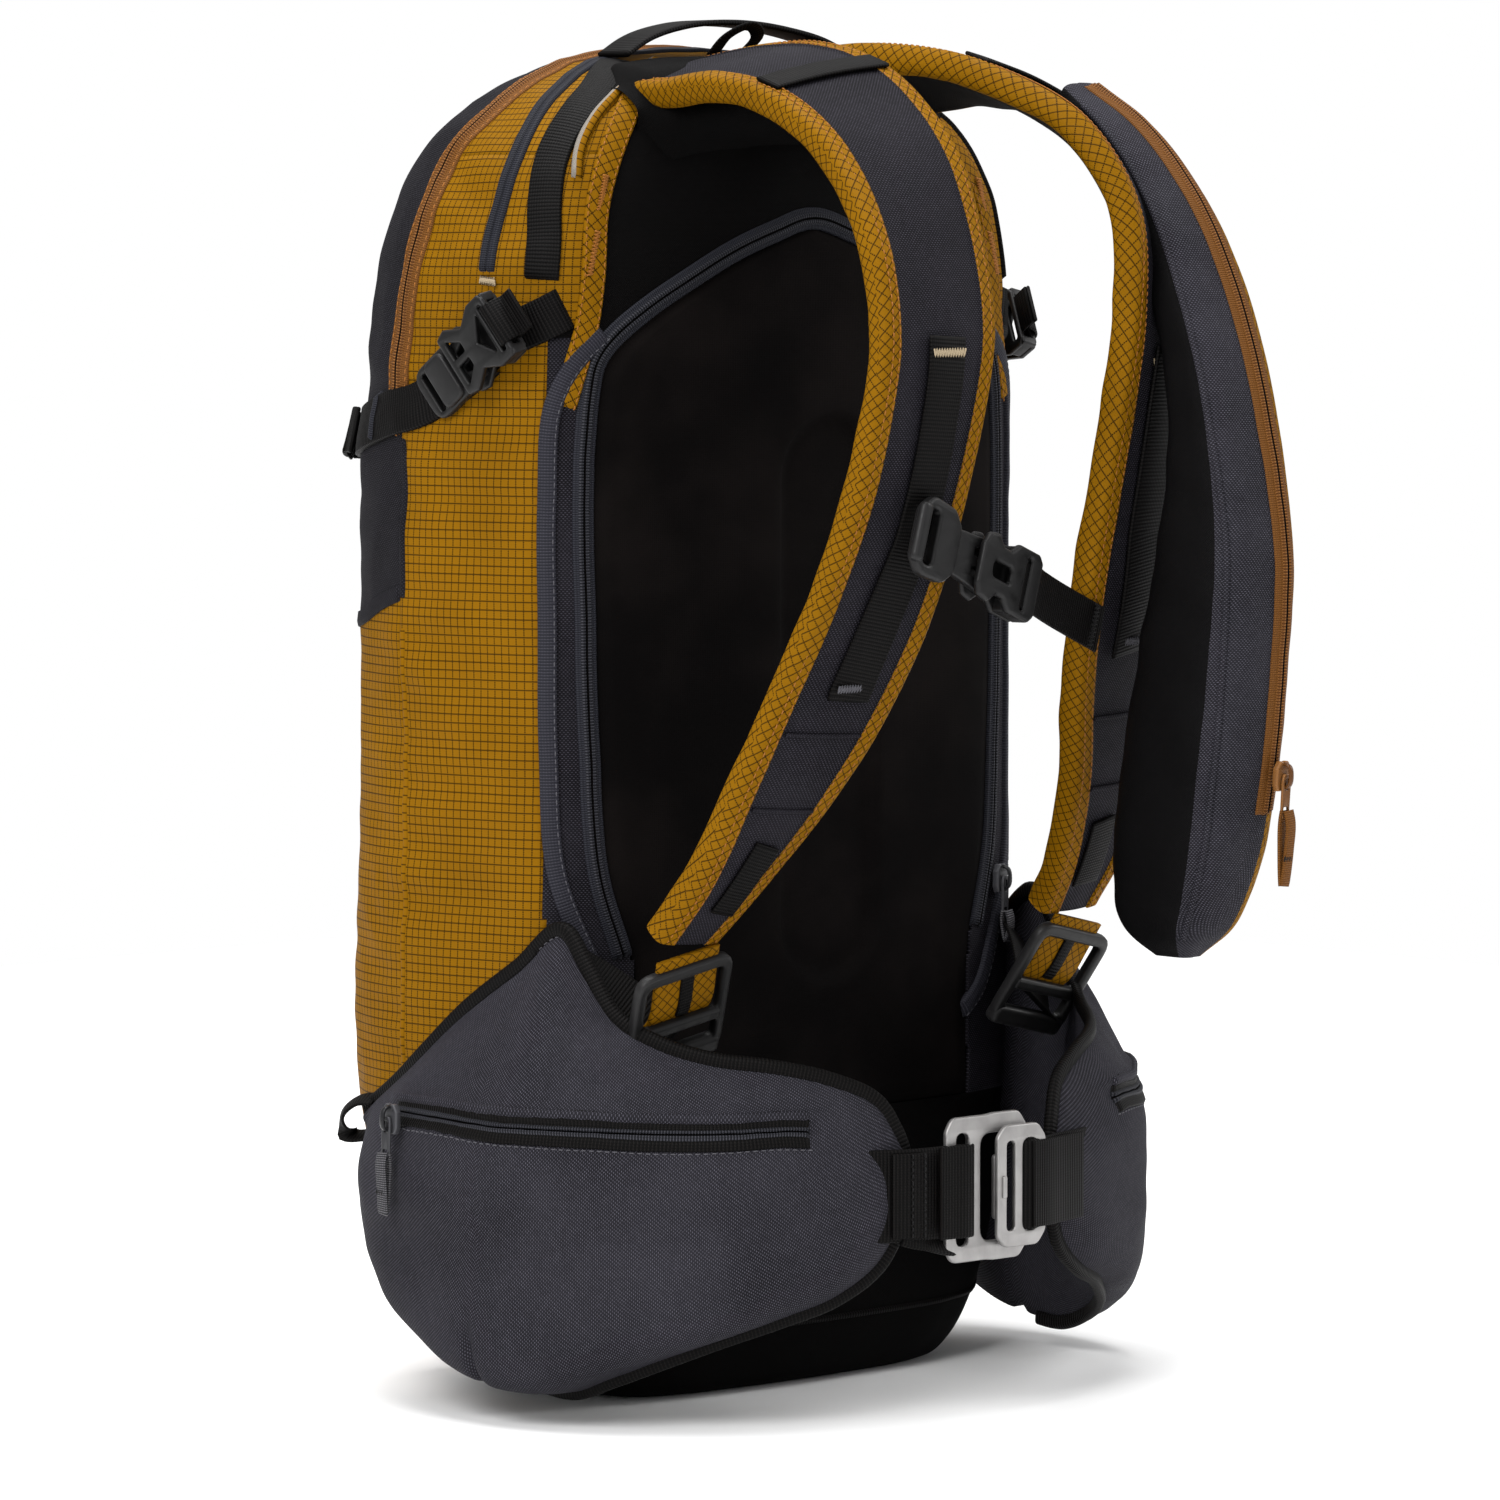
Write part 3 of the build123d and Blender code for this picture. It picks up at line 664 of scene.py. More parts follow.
def flat_profile(width, high, rows=5, crown=0.0):
    """A tape of some width: both edges turn down into the surface."""
    half = width / 2
    points = [(-half - 0.1, -0.8), (-half, high * 0.55), (-half + 0.5, high)]
    points += [(u * (half - 1.0), high + crown * (1 - u * u)) for u in np.linspace(-1, 1, rows)]
    points += [(half - 0.5, high), (half, high * 0.55), (half + 0.1, -0.8)]
    return points


def zip_profile(tape, coil, high=0.7, rise=1.1):
    """A coil zip: two tapes, and two rows of coil with a dark line between them; the line is black cloth in
    the groove, painted shade.
    """
    half = tape / 2
    left = [(-half - 0.1, -0.8), (-half, high * 0.6), (-half + 0.5, high), (-coil - 0.6, high),
            (-coil, high + 0.25)]
    row = [(-coil * 0.82, high + rise), (-coil * 0.5, high + rise * 1.15), (-coil * 0.2, high + rise * 0.8)]
    groove = [(-0.14, high - 0.1)]
    half_profile = left + row + groove
    points = half_profile + [(-a, b) for a, b in half_profile[::-1]]
    slots = [0] * 4 + [1] * 4 + [1] + [1] * 4 + [0] * 4
    # painted shade: the inner slopes and floor of the groove between the coil rows get black cloth
    slots[7] = slots[8] = slots[9] = 2
    return points, slots[:len(points) - 1]


def laid_zip(name, tree, path, tape, coil, tape_material, coil_material, out=bag_out, high=0.7, rise=1.1):
    profile, slots = zip_profile(tape, coil, high, rise)
    return laid(name, tree, path, profile, [tape_material, coil_material, black_cloth], slots, out)


def seam_thread(name, tree, path, across, material, out=bag_out, lift=0.1, pitch=3.2, length=2.2):
    """Stitches beside a path on a surface."""
    total = np.linalg.norm(np.diff(arr(path), axis=0), axis=1).sum()
    line = resample(arr(path), max(int(total / 3), 6))
    line, normal = snap(tree, line, out(line))
    side = unit(np.cross(tangents(line), normal))
    line, normal = snap(tree, line + side * across, normal)
    return stitches(name, line, normal, material, pitch, length, lift=lift)


# ---- region of every face of the skin
def arch_half(z):
    """Half width of the back panel at each height."""
    knots = smooth(ARCH, 160)
    return np.interp(z, knots[:, 1], knots[:, 0] - 2.5, right=-1)


def border_half(z):
    """Half width of the black upper back between the yellow border bands."""
    knots = arr([(400, 124), (432, 115), (450, 112), (483, 106), (502, 98), (522, 82), (531, 60), (540, 40)])
    return np.interp(z, knots[:, 0], knots[:, 1])


def grey_low(y):
    """Lower edge of the grey front panel."""
    return np.interp(y, [-6, 28, 60], [324, 313, 308])


def seam_y(z):
    """The seam from the side panels to the front follows the tool zip near the top."""
    return np.interp(z, [430, 460, 499, 516, 530, 544], [-6, -12, -15, -25, -24, -20])


REGIONS = ["base_panel", "right_side_panel", "left_side_panel", "lower_front_panel", "tool_pocket_panel",
           "top_panel", "lumbar_panel", "upper_back_panel", "right_back_border", "left_back_border", "door"]


def region_of(centre):
    x, y, z = centre[:, 0], centre[:, 1], centre[:, 2]
    side = np.where(x < 0, 1, 2)
    front = y > seam_y(z)
    region = np.where(front, np.where(z > grey_low(y), 4, 3), side)
    region = np.where(~front & (z > 500), 5, region)
    on_back = (y < np.interp(z, [470, 500, 522, 536], [-76, -76, -66, -50])) & (z < 541)
    on_back = on_back & ((z < 432) | (np.abs(x) < border_half(z)))
    region = np.where(on_back & (z < DOOR_LOW), 6, region)
    region = np.where(on_back & (z >= DOOR_LOW) & (z < 428), np.where(x < 0, 8, 9), region)
    region = np.where(on_back & (z >= 428), 7, region)
    in_door = on_back & (z > DOOR_LOW) & (z < DOOR_TOP) & (np.abs(x) < arch_half(z))
    region = np.where(in_door, 10, region)
    return np.where(z < BASE_TOP, 0, region)


REGION_LOOK = {
    "base_panel": (black_cloth, "black_cloth"), "right_side_panel": (ripstop_square, "yellow_ripstop"),
    "left_side_panel": (ripstop_square, "yellow_ripstop"),
    "lower_front_panel": (ripstop_square, "yellow_ripstop"),
    "tool_pocket_panel": (grey_panel, "grey_cloth"), "top_panel": (ripstop_square, "yellow_ripstop"),
    "lumbar_panel": (black_cloth, "black_cloth"), "upper_back_panel": (black_cloth, "black_cloth"),
    "right_back_border": (grey_strap, "grey_cloth"), "left_back_border": (grey_strap, "grey_cloth"),
}


def bag_skin():
    """One object per panel, cut out of the same welded grid, with its hem turned in."""
    rows, cols = bag_grid.shape[:2]
    quads = grid_faces(rows, cols)
    centre = rest_rings.reshape(-1, 3)[quads].mean(axis=1)
    region = region_of(centre)
    ring_length = np.r_[0, np.cumsum(np.linalg.norm(np.diff(rest_rings[rows // 2], axis=0), axis=1))]
    height = np.r_[0, np.cumsum(np.linalg.norm(np.diff(rest_rings[:, cols // 4], axis=0), axis=1))]
    uvs = np.stack(np.meshgrid(ring_length, height), axis=2).reshape(-1, 2)
    verts = bag_grid.reshape(-1, 3)
    made = {}
    for index, name in enumerate(REGIONS[:-1]):
        faces = quads[region == index]
        used, inverse = np.unique(faces, return_inverse=True)
        faces = inverse.reshape(faces.shape)
        material, slot_name = REGION_LOOK[name]
        obj = make_mesh(name + "_skin", verts[used], faces[:, ::1].tolist(), uvs[used], [material])
        thicken = obj.modifiers.new("cloth", "SOLIDIFY")
        thicken.thickness = 1.6 * MM
        thicken.offset = -1
        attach(obj, "root")
        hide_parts(name)
        made[name] = obj
    return made


bag_skin()


# ---------------------------------------------------------------- stage, light and camera
def stage_set():
    floor_mesh = bpy.data.meshes.new("floor")
    size = 1.5
    floor_mesh.from_pydata([(-size, -size, 0), (size, -size, 0), (size, size, 0), (-size, size, 0)], [],
                           [(0, 1, 2, 3)])
    floor = bpy.data.objects.new("floor", floor_mesh)
    floor.location.z = -0.0005
    pale = bpy.data.materials.new("floor_pale")
    pale.use_nodes = True
    base = pale.node_tree.nodes["Principled BSDF"]
    base.inputs["Base Color"].default_value = (0.92, 0.92, 0.92, 1)
    base.inputs["Roughness"].default_value = 0.85
    floor_mesh.materials.append(pale)
    bpy.context.scene.collection.objects.link(floor)
    world = bpy.data.worlds.new("studio")
    world.use_nodes = True
    sky = world.node_tree.nodes["Background"]
    sky.inputs["Color"].default_value = (1, 1, 1, 1)
    seen = world.node_tree.nodes.new("ShaderNodeLightPath")
    level = world.node_tree.nodes.new("ShaderNodeMapRange")
    level.inputs["To Min"].default_value = 0.5
    level.inputs["To Max"].default_value = 1.0
    world.node_tree.links.new(seen.outputs["Is Camera Ray"], level.inputs["Value"])
    world.node_tree.links.new(level.outputs[0], sky.inputs["Strength"])
    bpy.context.scene.world = world


def area_light(name, place, aim, size, watts):
    data = bpy.data.lights.new(name, "AREA")
    data.shape = "RECTANGLE"
    data.size, data.size_y = size
    data.energy = watts
    lamp = bpy.data.objects.new(name, data)
    lamp.location = place
    lamp.rotation_euler = (Vector(aim) - Vector(place)).to_track_quat("-Z", "Y").to_euler()
    bpy.context.scene.collection.objects.link(lamp)
    return lamp


CAMERA_TARGET = Vector((0.0287, -0.0267, 0.2546))
CAMERA_WAY = Vector((0.6803, 0.7296, -0.0698)).normalized()
CAMERA_DISTANCE = 3.0


def camera():
    data = bpy.data.cameras.new("camera")
    data.lens = 172.8
    data.sensor_width = 36
    eye = bpy.data.objects.new("camera", data)
    eye.location = CAMERA_TARGET - CAMERA_WAY * CAMERA_DISTANCE
    eye.rotation_euler = CAMERA_WAY.to_track_quat("-Z", "Y").to_euler()
    bpy.context.scene.collection.objects.link(eye)
    bpy.context.scene.camera = eye


stage_set()
bpy.context.scene.view_settings.view_transform = "Standard"
area_light("key", (-2.2, -0.6, 2.0), (0, 0, 0.3), (1.4, 1.4), 60)
area_light("front", (-0.6, -2.6, 1.4), (0, 0, 0.3), (1.8, 1.8), 12)
area_light("rim", (2.2, -1.2, 1.6), (0, 0, 0.3), (1.2, 1.6), 28)
area_light("top", (0, 0.2, 2.6), (0, 0, 0.3), (1.8, 1.8), 75)
camera()


# ---------------------------------------------------------------- back panel
def door_panel():
    """The zipped back panel: brushed cloth over foam, with a sunk channel down the middle."""
    t = np.linspace(0, 1, 190)
    heights = DOOR_LOW + 1 + (DOOR_TOP - DOOR_LOW - 1.5) * (1 - (1 - t) ** 1.5)
    across = np.sin(np.linspace(-1, 1, 120) * math.pi / 2)
    half = np.maximum(arch_half(heights) - 1.0, 0.2)
    x = across[None] * half[:, None]
    z = np.repeat(heights[:, None], len(across), axis=1)
    y = np.empty_like(x)
    for i, j in np.ndindex(x.shape):
        hit = bag_tree.ray_cast(Vector((x[i, j], -200, z[i, j])), Vector((0, 1, 0)))[0]
        y[i, j] = hit.y if hit else -95
    points = np.stack([x, y, z], axis=2)
    edge = np.minimum(half[:, None] - np.abs(x), (z - DOOR_LOW) * 1.2)
    raise_by = 2.2 * ease(edge, 0, 9) - 0.8
    centre_z = np.clip(z, 165 + 27, 396 - 27)
    from_channel = np.hypot(x - 7, z - centre_z) - 27
    raise_by = raise_by - 4.2 * ease(from_channel, 1.5, -3.0)
    raise_by = raise_by + 0.8 * noise_at(points, 70, 2.2) * ease(edge, 0, 30)
    points[..., 1] -= raise_by
    uvs = np.stack([x, z], axis=2).reshape(-1, 2)
    panel = grid_object("back_panel_cover", points, [back_mesh], uvs=uvs)
    thicken = panel.modifiers.new("foam", "SOLIDIFY")
    thicken.thickness = 9 * MM
    thicken.offset = -1
    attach(panel, "back_panel")
    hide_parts("back_panel_pad")
    return points


door_panel()


def both_sides(points):
    """A path from the right edge over the middle to the left edge."""
    right = arr(points)
    return np.vstack([right, mirror_points(right)[::-1]])


def arch_path(gap, low):
    knots = [(-(x + gap), -95.0, z + gap * 0.9 * (z > 400)) for x, z in ARCH if z >= low]
    return arr(knots)


def on_root(obj, slot_name, *nodes):
    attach(obj, "root")
    if nodes:
        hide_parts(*nodes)
    return obj


def smooth_path(points, step=2.0):
    knots = arr(points)
    total = np.linalg.norm(np.diff(knots, axis=0), axis=1).sum()
    return smooth(knots, max(int(total / step), 8))


def back_seams():
    inner = smooth_path(both_sides(arch_path(2.5, 170)))
    zip_piece = laid_zip("back_zip", bag_tree, inner, 9.0, 2.3, zip_tape_grey, coil_grey, high=0.9, rise=1.0)
    on_root(zip_piece, "zip_grey", "back_panel_zip")
    outer_low = [(-88, -92, 146), (-100, -89, 155), (-113, -85, 180), (-125, -80, 212), (-127.5, -77, 264),
                 (-129, -78, 316), (-129, -78, 365), (-126, -80, 404), (-117, -84, 420), (-106, -87, 430)]
    for side, name in ((-1, "right"), (1, "left")):
        path = smooth_path(outer_low)
        path[:, 0] *= -side
        binding = laid(f"{name}_border_binding", bag_tree, path, flat_profile(7.5, 1.9, 5, 0.5),
                       [binding_cloth])
        on_root(binding, "grey_cloth")
        on_root(seam_thread(f"{name}_border_thread", bag_tree, path, 2.6, thread_grey, lift=1.9),
                "grey_cloth")
        band = [(-123, -81, 400), (-119, -83, 414), (-114, -85, 432), (-111, -85, 450), (-106, -83, 483),
                (-97, -81, 502), (-84, -76, 518), (-74, -70, 526)]
        band_path = smooth_path(band)
        band_path[:, 0] *= -side
        bias = laid(f"{name}_border_bias", bag_tree, band_path, flat_profile(10, 1.5, 5, 0.4), [ripstop_bias])
        on_root(bias, "yellow_ripstop")
        for across in (-4.0, 4.0):
            row = seam_thread(f"{name}_bias_thread_{'a' if across < 0 else 'b'}", bag_tree, band_path, across,
                              thread_orange, lift=1.5, pitch=3.0, length=2.0)
            on_root(row, "yellow_ripstop")


def zigzag(name, centre, along, across, normal, length, width, turns, material, radius=0.42):
    """A bartack of close zigzag stitches."""
    steps = turns * 2 + 1
    u = np.linspace(-0.5, 0.5, steps)
    v = np.where(np.arange(steps) % 2 == 0, -0.5, 0.5)
    path = (arr(centre) + unit(arr(along))[None] * (u * length)[:, None]
            + unit(arr(across))[None] * (v * width)[:, None] + unit(arr(normal))[None] * 0.3)
    dense = np.vstack([path[i] + (path[i + 1] - path[i]) * t for i in range(steps - 1)
                       for t in np.linspace(0, 1, 4, endpoint=False)] + [path[-1:]])
    return tube(name, dense.reshape(-1, 3), radius, material, 6)


def bag_trim():
    tool = [(-142, 3, 388), (-142, 0, 409), (-141, -4, 434), (-139, -9, 460), (-133, -12, 483),
            (-125, -14, 499), (-115, -20, 512), (-98, -24, 524), (-60, -22, 537), (-25, -21, 543),
            (0, -20, 544)]
    path = smooth_path(both_sides(tool))
    zip_piece = laid_zip("tool_zip", bag_tree, path, 13.0, 2.3, zip_tape_brown, coil_brown, high=0.8)
    on_root(zip_piece, "zip_brown", "tool_pocket_zip")
    for across, tag in ((-5.2, "a"), (5.2, "b")):
        on_root(seam_thread(f"tool_zip_thread_{tag}", bag_tree, path, across, thread_orange, lift=0.8),
                "zip_brown")
    top = [(-137, -50, 453), (-133, -50, 472), (-128, -51, 483), (-119, -51, 503), (-106, -48, 518),
           (-90, -44, 529), (-71, -39, 537), (-49, -35, 541), (-20, -32, 543), (0, -32, 543.5)]
    path = smooth_path(both_sides(top))
    # painted shade: the floor of the groove between the two tapes is black cloth
    strip = laid("top_zip", bag_tree, path, [(-3.9, -0.8), (-3.8, 0.6), (-3.2, 1.3), (-0.5, 1.5),
                                             (-0.15, 0.5),
                                             (0.15, 0.5), (0.5, 1.5), (3.2, 1.3), (3.8, 0.6), (3.9, -0.8)],
                 [zip_tape_grey, black_cloth], [0, 0, 0, 0, 1, 0, 0, 0, 0])
    on_root(strip, "zip_grey", "top_pocket_zip")
    for side, name in ((-1, "right"), (1, "left")):
        web = smooth_path([(-130, -75, 450), (-127, -74, 462), (-123, -70.5, 483), (-115, -67, 501),
                           (-104, -65.5, 514), (-88, -61, 525), (-74, -53, 534), (-62, -46, 540)])
        web[:, 0] *= -side
        strip = laid(f"{name}_haul_webbing", bag_tree, web, flat_profile(14.5, 1.8, 5), [black_web])
        on_root(strip, "webbing")
        seam = smooth_path([(-141, -6, 30), (-143, -6, 120), (-144, -7, 220), (-144, -7, 312)])
        seam[:, 0] *= -side
        ridge = laid(f"{name}_side_seam", bag_tree, seam, [(-2.2, -0.4), (-1.2, 0.5), (0, 0.75), (1.0, 0.4),
                                                           (1.4, -0.5)],
                     [ripstop_square])
        on_root(ridge, "yellow_ripstop")
        fold = smooth_path([(-144, -6.5, 322), (-144, -7, 345), (-143, -7.5, 372), (-142, -6, 388)])
        fold[:, 0] *= -side
        ridge = laid(f"{name}_grey_seam", bag_tree, fold, [(-2.6, -0.4), (-1.4, 0.8), (0, 1.1), (1.2, 0.6),
                                                           (1.6, -0.5)],
                     [grey_panel])
        on_root(ridge, "grey_cloth")
        tack = arr([-131.5 * -side, -50.5, 450])
        spot, way = snap(bag_tree, tack[None], bag_out(tack[None]))
        on_root(zigzag(f"{name}_zip_bartack", spot[0] + way[0] * 0.5, (0, 1, 0.1), (0, 0, 1), way[0], 9, 3, 8,
                       thread_cream), "zip_grey")
        for z_low, z_high, x_low in ((452, 470, -110.5), (478, 492, -105)):
            middle = arr([x_low * -side, -84, (z_low + z_high) / 2])
            spot, way = snap(bag_tree, middle[None], bag_out(middle[None]))
            tack = zigzag(f"{name}_band_bartack_{z_low}", spot[0] + way[0] * 1.7, (0.25 * -side, 0, 1),
                          (1, 0, 0),
                          way[0], z_high - z_low, 3.4, 12, thread_orange)
            on_root(tack, "yellow_ripstop")
    flap = smooth_path([(-113, -78, 490), (-110, -76, 501), (-101, -73, 512), (-84, -68, 523),
                        (-66, -60, 533),
                        (-44, -50, 540)])
    edge = laid("flap_edge", bag_tree, flap, [(-2.4, -0.5), (-2.2, 1.6), (-0.6, 2.6), (1.0, 2.1), (2.2, 0.9),
                                              (2.4, -0.5)], [cream_lining, ripstop_square], [0, 0, 1, 1, 1])
    on_root(edge, "lining")
    grey_edge = both_sides([(-144, -6, 323.5), (-142, 10, 319), (-137, 28, 313), (-123, 48, 310),
                            (-108, 64, 308),
                            (-60, 79, 308), (-10, 84, 308)])
    path = smooth_path(grey_edge)
    ridge = laid("grey_panel_hem", bag_tree, path, [(-1.6, -0.5), (-1.2, 0.8), (0.8, 1.2), (4.6, 0.9),
                                                    (5.4, -0.5)],
                 [grey_panel])
    on_root(ridge, "grey_cloth")
    base = [(x, y, 25.5) for x, y in (PLAN_HALF + [(-x, y) for x, y in PLAN_HALF[-2:0:-1]])]
    ring = smooth(base, 420, closed=True)
    ring = np.vstack([ring, ring[:1]])
    piping = laid("base_seam", bag_tree, ring, [(-1.4, -0.5), (-1.0, 0.8), (0, 1.1), (1.0, 0.8), (1.4, -0.5)],
                  [black_web], ends=False)
    on_root(piping, "black_cloth")


back_seams()
bag_trim()


# ---------------------------------------------------------------- shoulder straps
STRAP_INNER = [(-14, -36, 538), (-14, -78, 545), (-15, -120, 546), (-17, -163, 533), (-22, -202, 502),
               (-26, -222, 462), (-30, -231, 431), (-34, -228, 393), (-38, -221, 358), (-41, -211, 326),
               (-50, -197, 287), (-66, -179, 247), (-84, -152, 207), (-91, -138, 190)]
STRAP_OUTER = [(-78, -52, 532), (-80, -85, 528), (-82, -118, 530), (-84, -159, 523), (-86, -196, 500),
               (-91, -226, 460), (-94, -234, 428), (-97, -230, 392), (-99, -220, 358), (-101, -206, 328),
               (-106, -187, 289), (-116, -173, 250), (-122, -154, 211), (-125, -138, 192)]
LEFT_INNER = [(-14, -36, 538), (-15, -78, 545), (-18, -120, 546), (-23, -170, 537), (-33, -213, 517),
              (-41, -236, 480), (-43, -235, 440), (-42, -227, 398), (-40, -219, 358), (-41, -211, 326),
              (-50, -197, 287), (-66, -179, 247), (-82, -152, 207), (-88, -138, 190)]
LEFT_OUTER = [(-78, -52, 532), (-80, -85, 528), (-82, -118, 530), (-84, -158, 522), (-88, -186, 496),
              (-92, -205, 458), (-95, -212, 424), (-97, -213, 390), (-99, -210, 358), (-101, -203, 328),
              (-106, -187, 289), (-116, -173, 250), (-121, -154, 211), (-123, -138, 192)]
STRAP_ROWS = 260
OUTER_BAND = 8.6
INNER_BAND = 10.2


class Strap:
    """One shoulder strap, worked out on the right side and mirrored when it is the left one."""

    def __init__(self, side, outer_edge, inner_edge):
        self.side = side
        self.name = "right" if side < 0 else "left"
        pair = smooth(np.hstack([arr(outer_edge), arr(inner_edge)]), STRAP_ROWS)
        self.outer, inner = pair[:, :3], pair[:, 3:]
        middle = (self.outer + inner) / 2
        self.width = np.linalg.norm(inner - self.outer, axis=1)
        self.across = (inner - self.outer) / self.width[:, None]
        out = unit(np.cross(self.across, tangents(middle)))
        self.out = out * np.sign((out * shoulder_out(out) + out * arr([0, 0, 0.6])).sum(1, keepdims=True))
        self.length = np.r_[0, np.cumsum(np.linalg.norm(np.diff(middle, axis=0), axis=1))]

    def placed(self, points):
        return mirror_points(points) if self.side > 0 else points

    def height(self, place):
        """Height of the strap's face above its edge line, at a distance from the outer edge."""
        w = self.width[:, None]
        near = np.clip(np.minimum(place, w - place) / 3.4, 0, 1)
        rolled = -3.4 * (1 - np.sqrt(near * (2 - near)))
        crown = 1.6 * np.sin(np.clip(place / w, 0, 1) * math.pi)
        return rolled + crown

    def shell(self):
        """The padded strap: two bands of yellow cloth round a grey face, black behind."""
        w = self.width[:, None]
        rows = np.ones((STRAP_ROWS, 1))
        columns, heights, slots = [], [], []

        def add(place, height, slot_index):
            columns.append(place)
            heights.append(height)
            slots.append(slot_index)

        for value in [0.0, 0.3, 0.9, 1.8, 3.0, 4.4, 6.0, 7.4, OUTER_BAND - 0.2]:
            add(rows * value, self.height(rows * value) + 0.35, 0)
        for value in np.linspace(0, 1, 18):
            place = OUTER_BAND + 0.1 + (w - INNER_BAND - OUTER_BAND - 0.2) * value
            add(place, self.height(place) - 0.45, 1)
        for value in [INNER_BAND - 0.2, 8.2, 6.0, 4.0, 2.2, 0.9, 0.0]:
            add(w - value, self.height(w - value) + 0.35, 0)
        under = [(0.0, -6.4, 0), (0.5, -8.6, 0), (1.8, -10.2, 0), (4.0, -11.0, 0), (6.8, -11.2, 2)]
        for value, drop, slot_index in under:
            add(w - value, rows * drop, slot_index)
        for value in np.linspace(0.2, 0.8, 8):
            add(w * (1 - value), rows * -11.4, 2)
        for value, drop, slot_index in under[::-1]:
            add(rows * value, rows * drop, slot_index)
        place, height = np.hstack(columns), np.hstack(heights)
        points = (self.outer[:, None] + self.across[:, None] * place[..., None]
                  + self.out[:, None] * height[..., None])
        seed = 5.5 if self.side < 0 else 9.5
        ripple = points.copy()
        ripple[..., 0] *= 0.4
        wrinkle = np.where(height < -7, 0.75, 0.25) * noise_at(ripple, 15, seed)
        points += self.out[:, None] * (0.7 * noise_at(points, 40, seed) + wrinkle)[..., None]
        points = self.placed(np.concatenate([points, points[:, :1]], axis=1))
        girth = np.cumsum(np.linalg.norm(np.diff(points, axis=1), axis=2), axis=1)
        girth = np.concatenate([np.zeros((STRAP_ROWS, 1)), girth], axis=1)
        uv = np.stack([girth, np.repeat(self.length[:, None], girth.shape[1], axis=1)], axis=2)
        cols = points.shape[1]
        faces = grid_faces(STRAP_ROWS, cols, flip=self.side < 0).tolist()
        low_end = [(STRAP_ROWS - 1) * cols + i for i in range(cols - 1)]
        faces.append(low_end if self.side < 0 else low_end[::-1])
        return make_mesh(f"{self.name}_strap", points.reshape(-1, 3), faces, uv.reshape(-1, 2),
                         [ripstop_bias, grey_strap, black_cloth], slots * (STRAP_ROWS - 1) + [0])

    def curve(self, place, low_z, high_z, lift=0.0):
        """A line down the strap's face at a distance from its outer edge, and its normals."""
        distance = place(self.width) if callable(place) else np.full(STRAP_ROWS, float(place))
        height = self.height(distance[:, None])[:, 0] + lift
        line = self.outer + self.across * distance[:, None] + self.out * height[:, None]
        keep = (line[:, 2] <= high_z) & (line[:, 2] >= low_z)
        keep &= (self.outer[:, 1] < -150) | (high_z > 520)
        return self.placed(line[keep]), self.placed(self.out[keep])

    def cross_line(self, row, margin, lift):
        """A line straight across the strap at one row, and its normals."""
        places = np.linspace(margin, self.width[row] - margin, 24)
        height = self.height(places[None, :] + 0 * self.width[:, None])[row] + lift
        line = (self.outer[row] + self.across[row] * places[:, None] + self.out[row] * height[:, None])
        return self.placed(line), self.placed(np.repeat(self.out[row][None], len(places), axis=0))


def in_harness(obj, slot_name, *nodes):
    """Pieces of the straps, baked into place; the parts they stand for are hidden."""
    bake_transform(obj)
    if nodes:
        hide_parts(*nodes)
    return obj


def strap_seams(strap):
    """Rows of stitching down both bands and the raised seams near the lower end."""
    rows = [("outer", OUTER_BAND - 1.0), ("outer_edge", 4.2), ("inner", lambda w: w - INNER_BAND + 1.0),
            ("inner_edge", lambda w: w - 4.6)]
    for tag, place in rows:
        line, out = strap.curve(place, 150, 600, 0.3)
        in_harness(stitches(f"{strap.name}_strap_thread_{tag}", line, out, thread_orange, 3.0, 2.0),
                   "yellow_ripstop")
    for z in (276, 246):
        row = int(np.abs(strap.outer[:, 2] - z).argmin())
        line, out = strap.cross_line(row, OUTER_BAND + 1.5, 0.1)
        in_harness(tube(f"{strap.name}_strap_cross_{z}", line, 0.9, grey_strap, 8), "grey_cloth")


def strap_webbing(strap):
    """The sternum rail with its tacks, the webbing tail of the adjuster and the band at the top."""
    low_z, high_z = (287, 431) if strap.side < 0 else (300, 425)
    line, out = strap.curve(lambda w: w * 0.5, low_z, high_z, 0.3)
    line[:, 0] = strap.side * np.interp(line[:, 2], [290, 350, 430], [76, 66, 62])
    if strap.side > 0:
        line[:, 0] += np.interp(line[:, 2], [300, 360, 430], [0, 2, 8])
    rail = ribbon(f"{strap.name}_rail", line, out, 19.5, 1.8, black_web, 0.3)
    in_harness(rail, "webbing", f"{strap.name}_sternum_rail")
    for end, tag, thread_used in ((3, "top", thread_cream), (-4, "low", thread_grey)):
        tack = zigzag(f"{strap.name}_rail_tack_{tag}", line[end] + out[end] * 2.1, (1, 0, 0),
                      tangents(line)[end], out[end], 17, 3, 12, thread_used)
        in_harness(tack, "webbing")
    line, out = strap.curve(lambda w: w * 0.55, 187, 232, -0.1)
    in_harness(ribbon(f"{strap.name}_strap_tail", line, out, 13, 1.4, black_web), "webbing")
    row = int(np.abs(strap.outer[:130, 1] + 152).argmin())
    line, out = strap.cross_line(row, 5.0, 0.3)
    in_harness(ribbon(f"{strap.name}_top_band", line, out, 13, 1.7, black_web), "webbing")


def straps():
    for strap in (Strap(-1, STRAP_OUTER, STRAP_INNER), Strap(1, LEFT_OUTER, LEFT_INNER)):
        in_harness(strap.shell(), "grey_cloth", f"{strap.name}_shoulder_strap")
        strap_seams(strap)
        strap_webbing(strap)


straps()


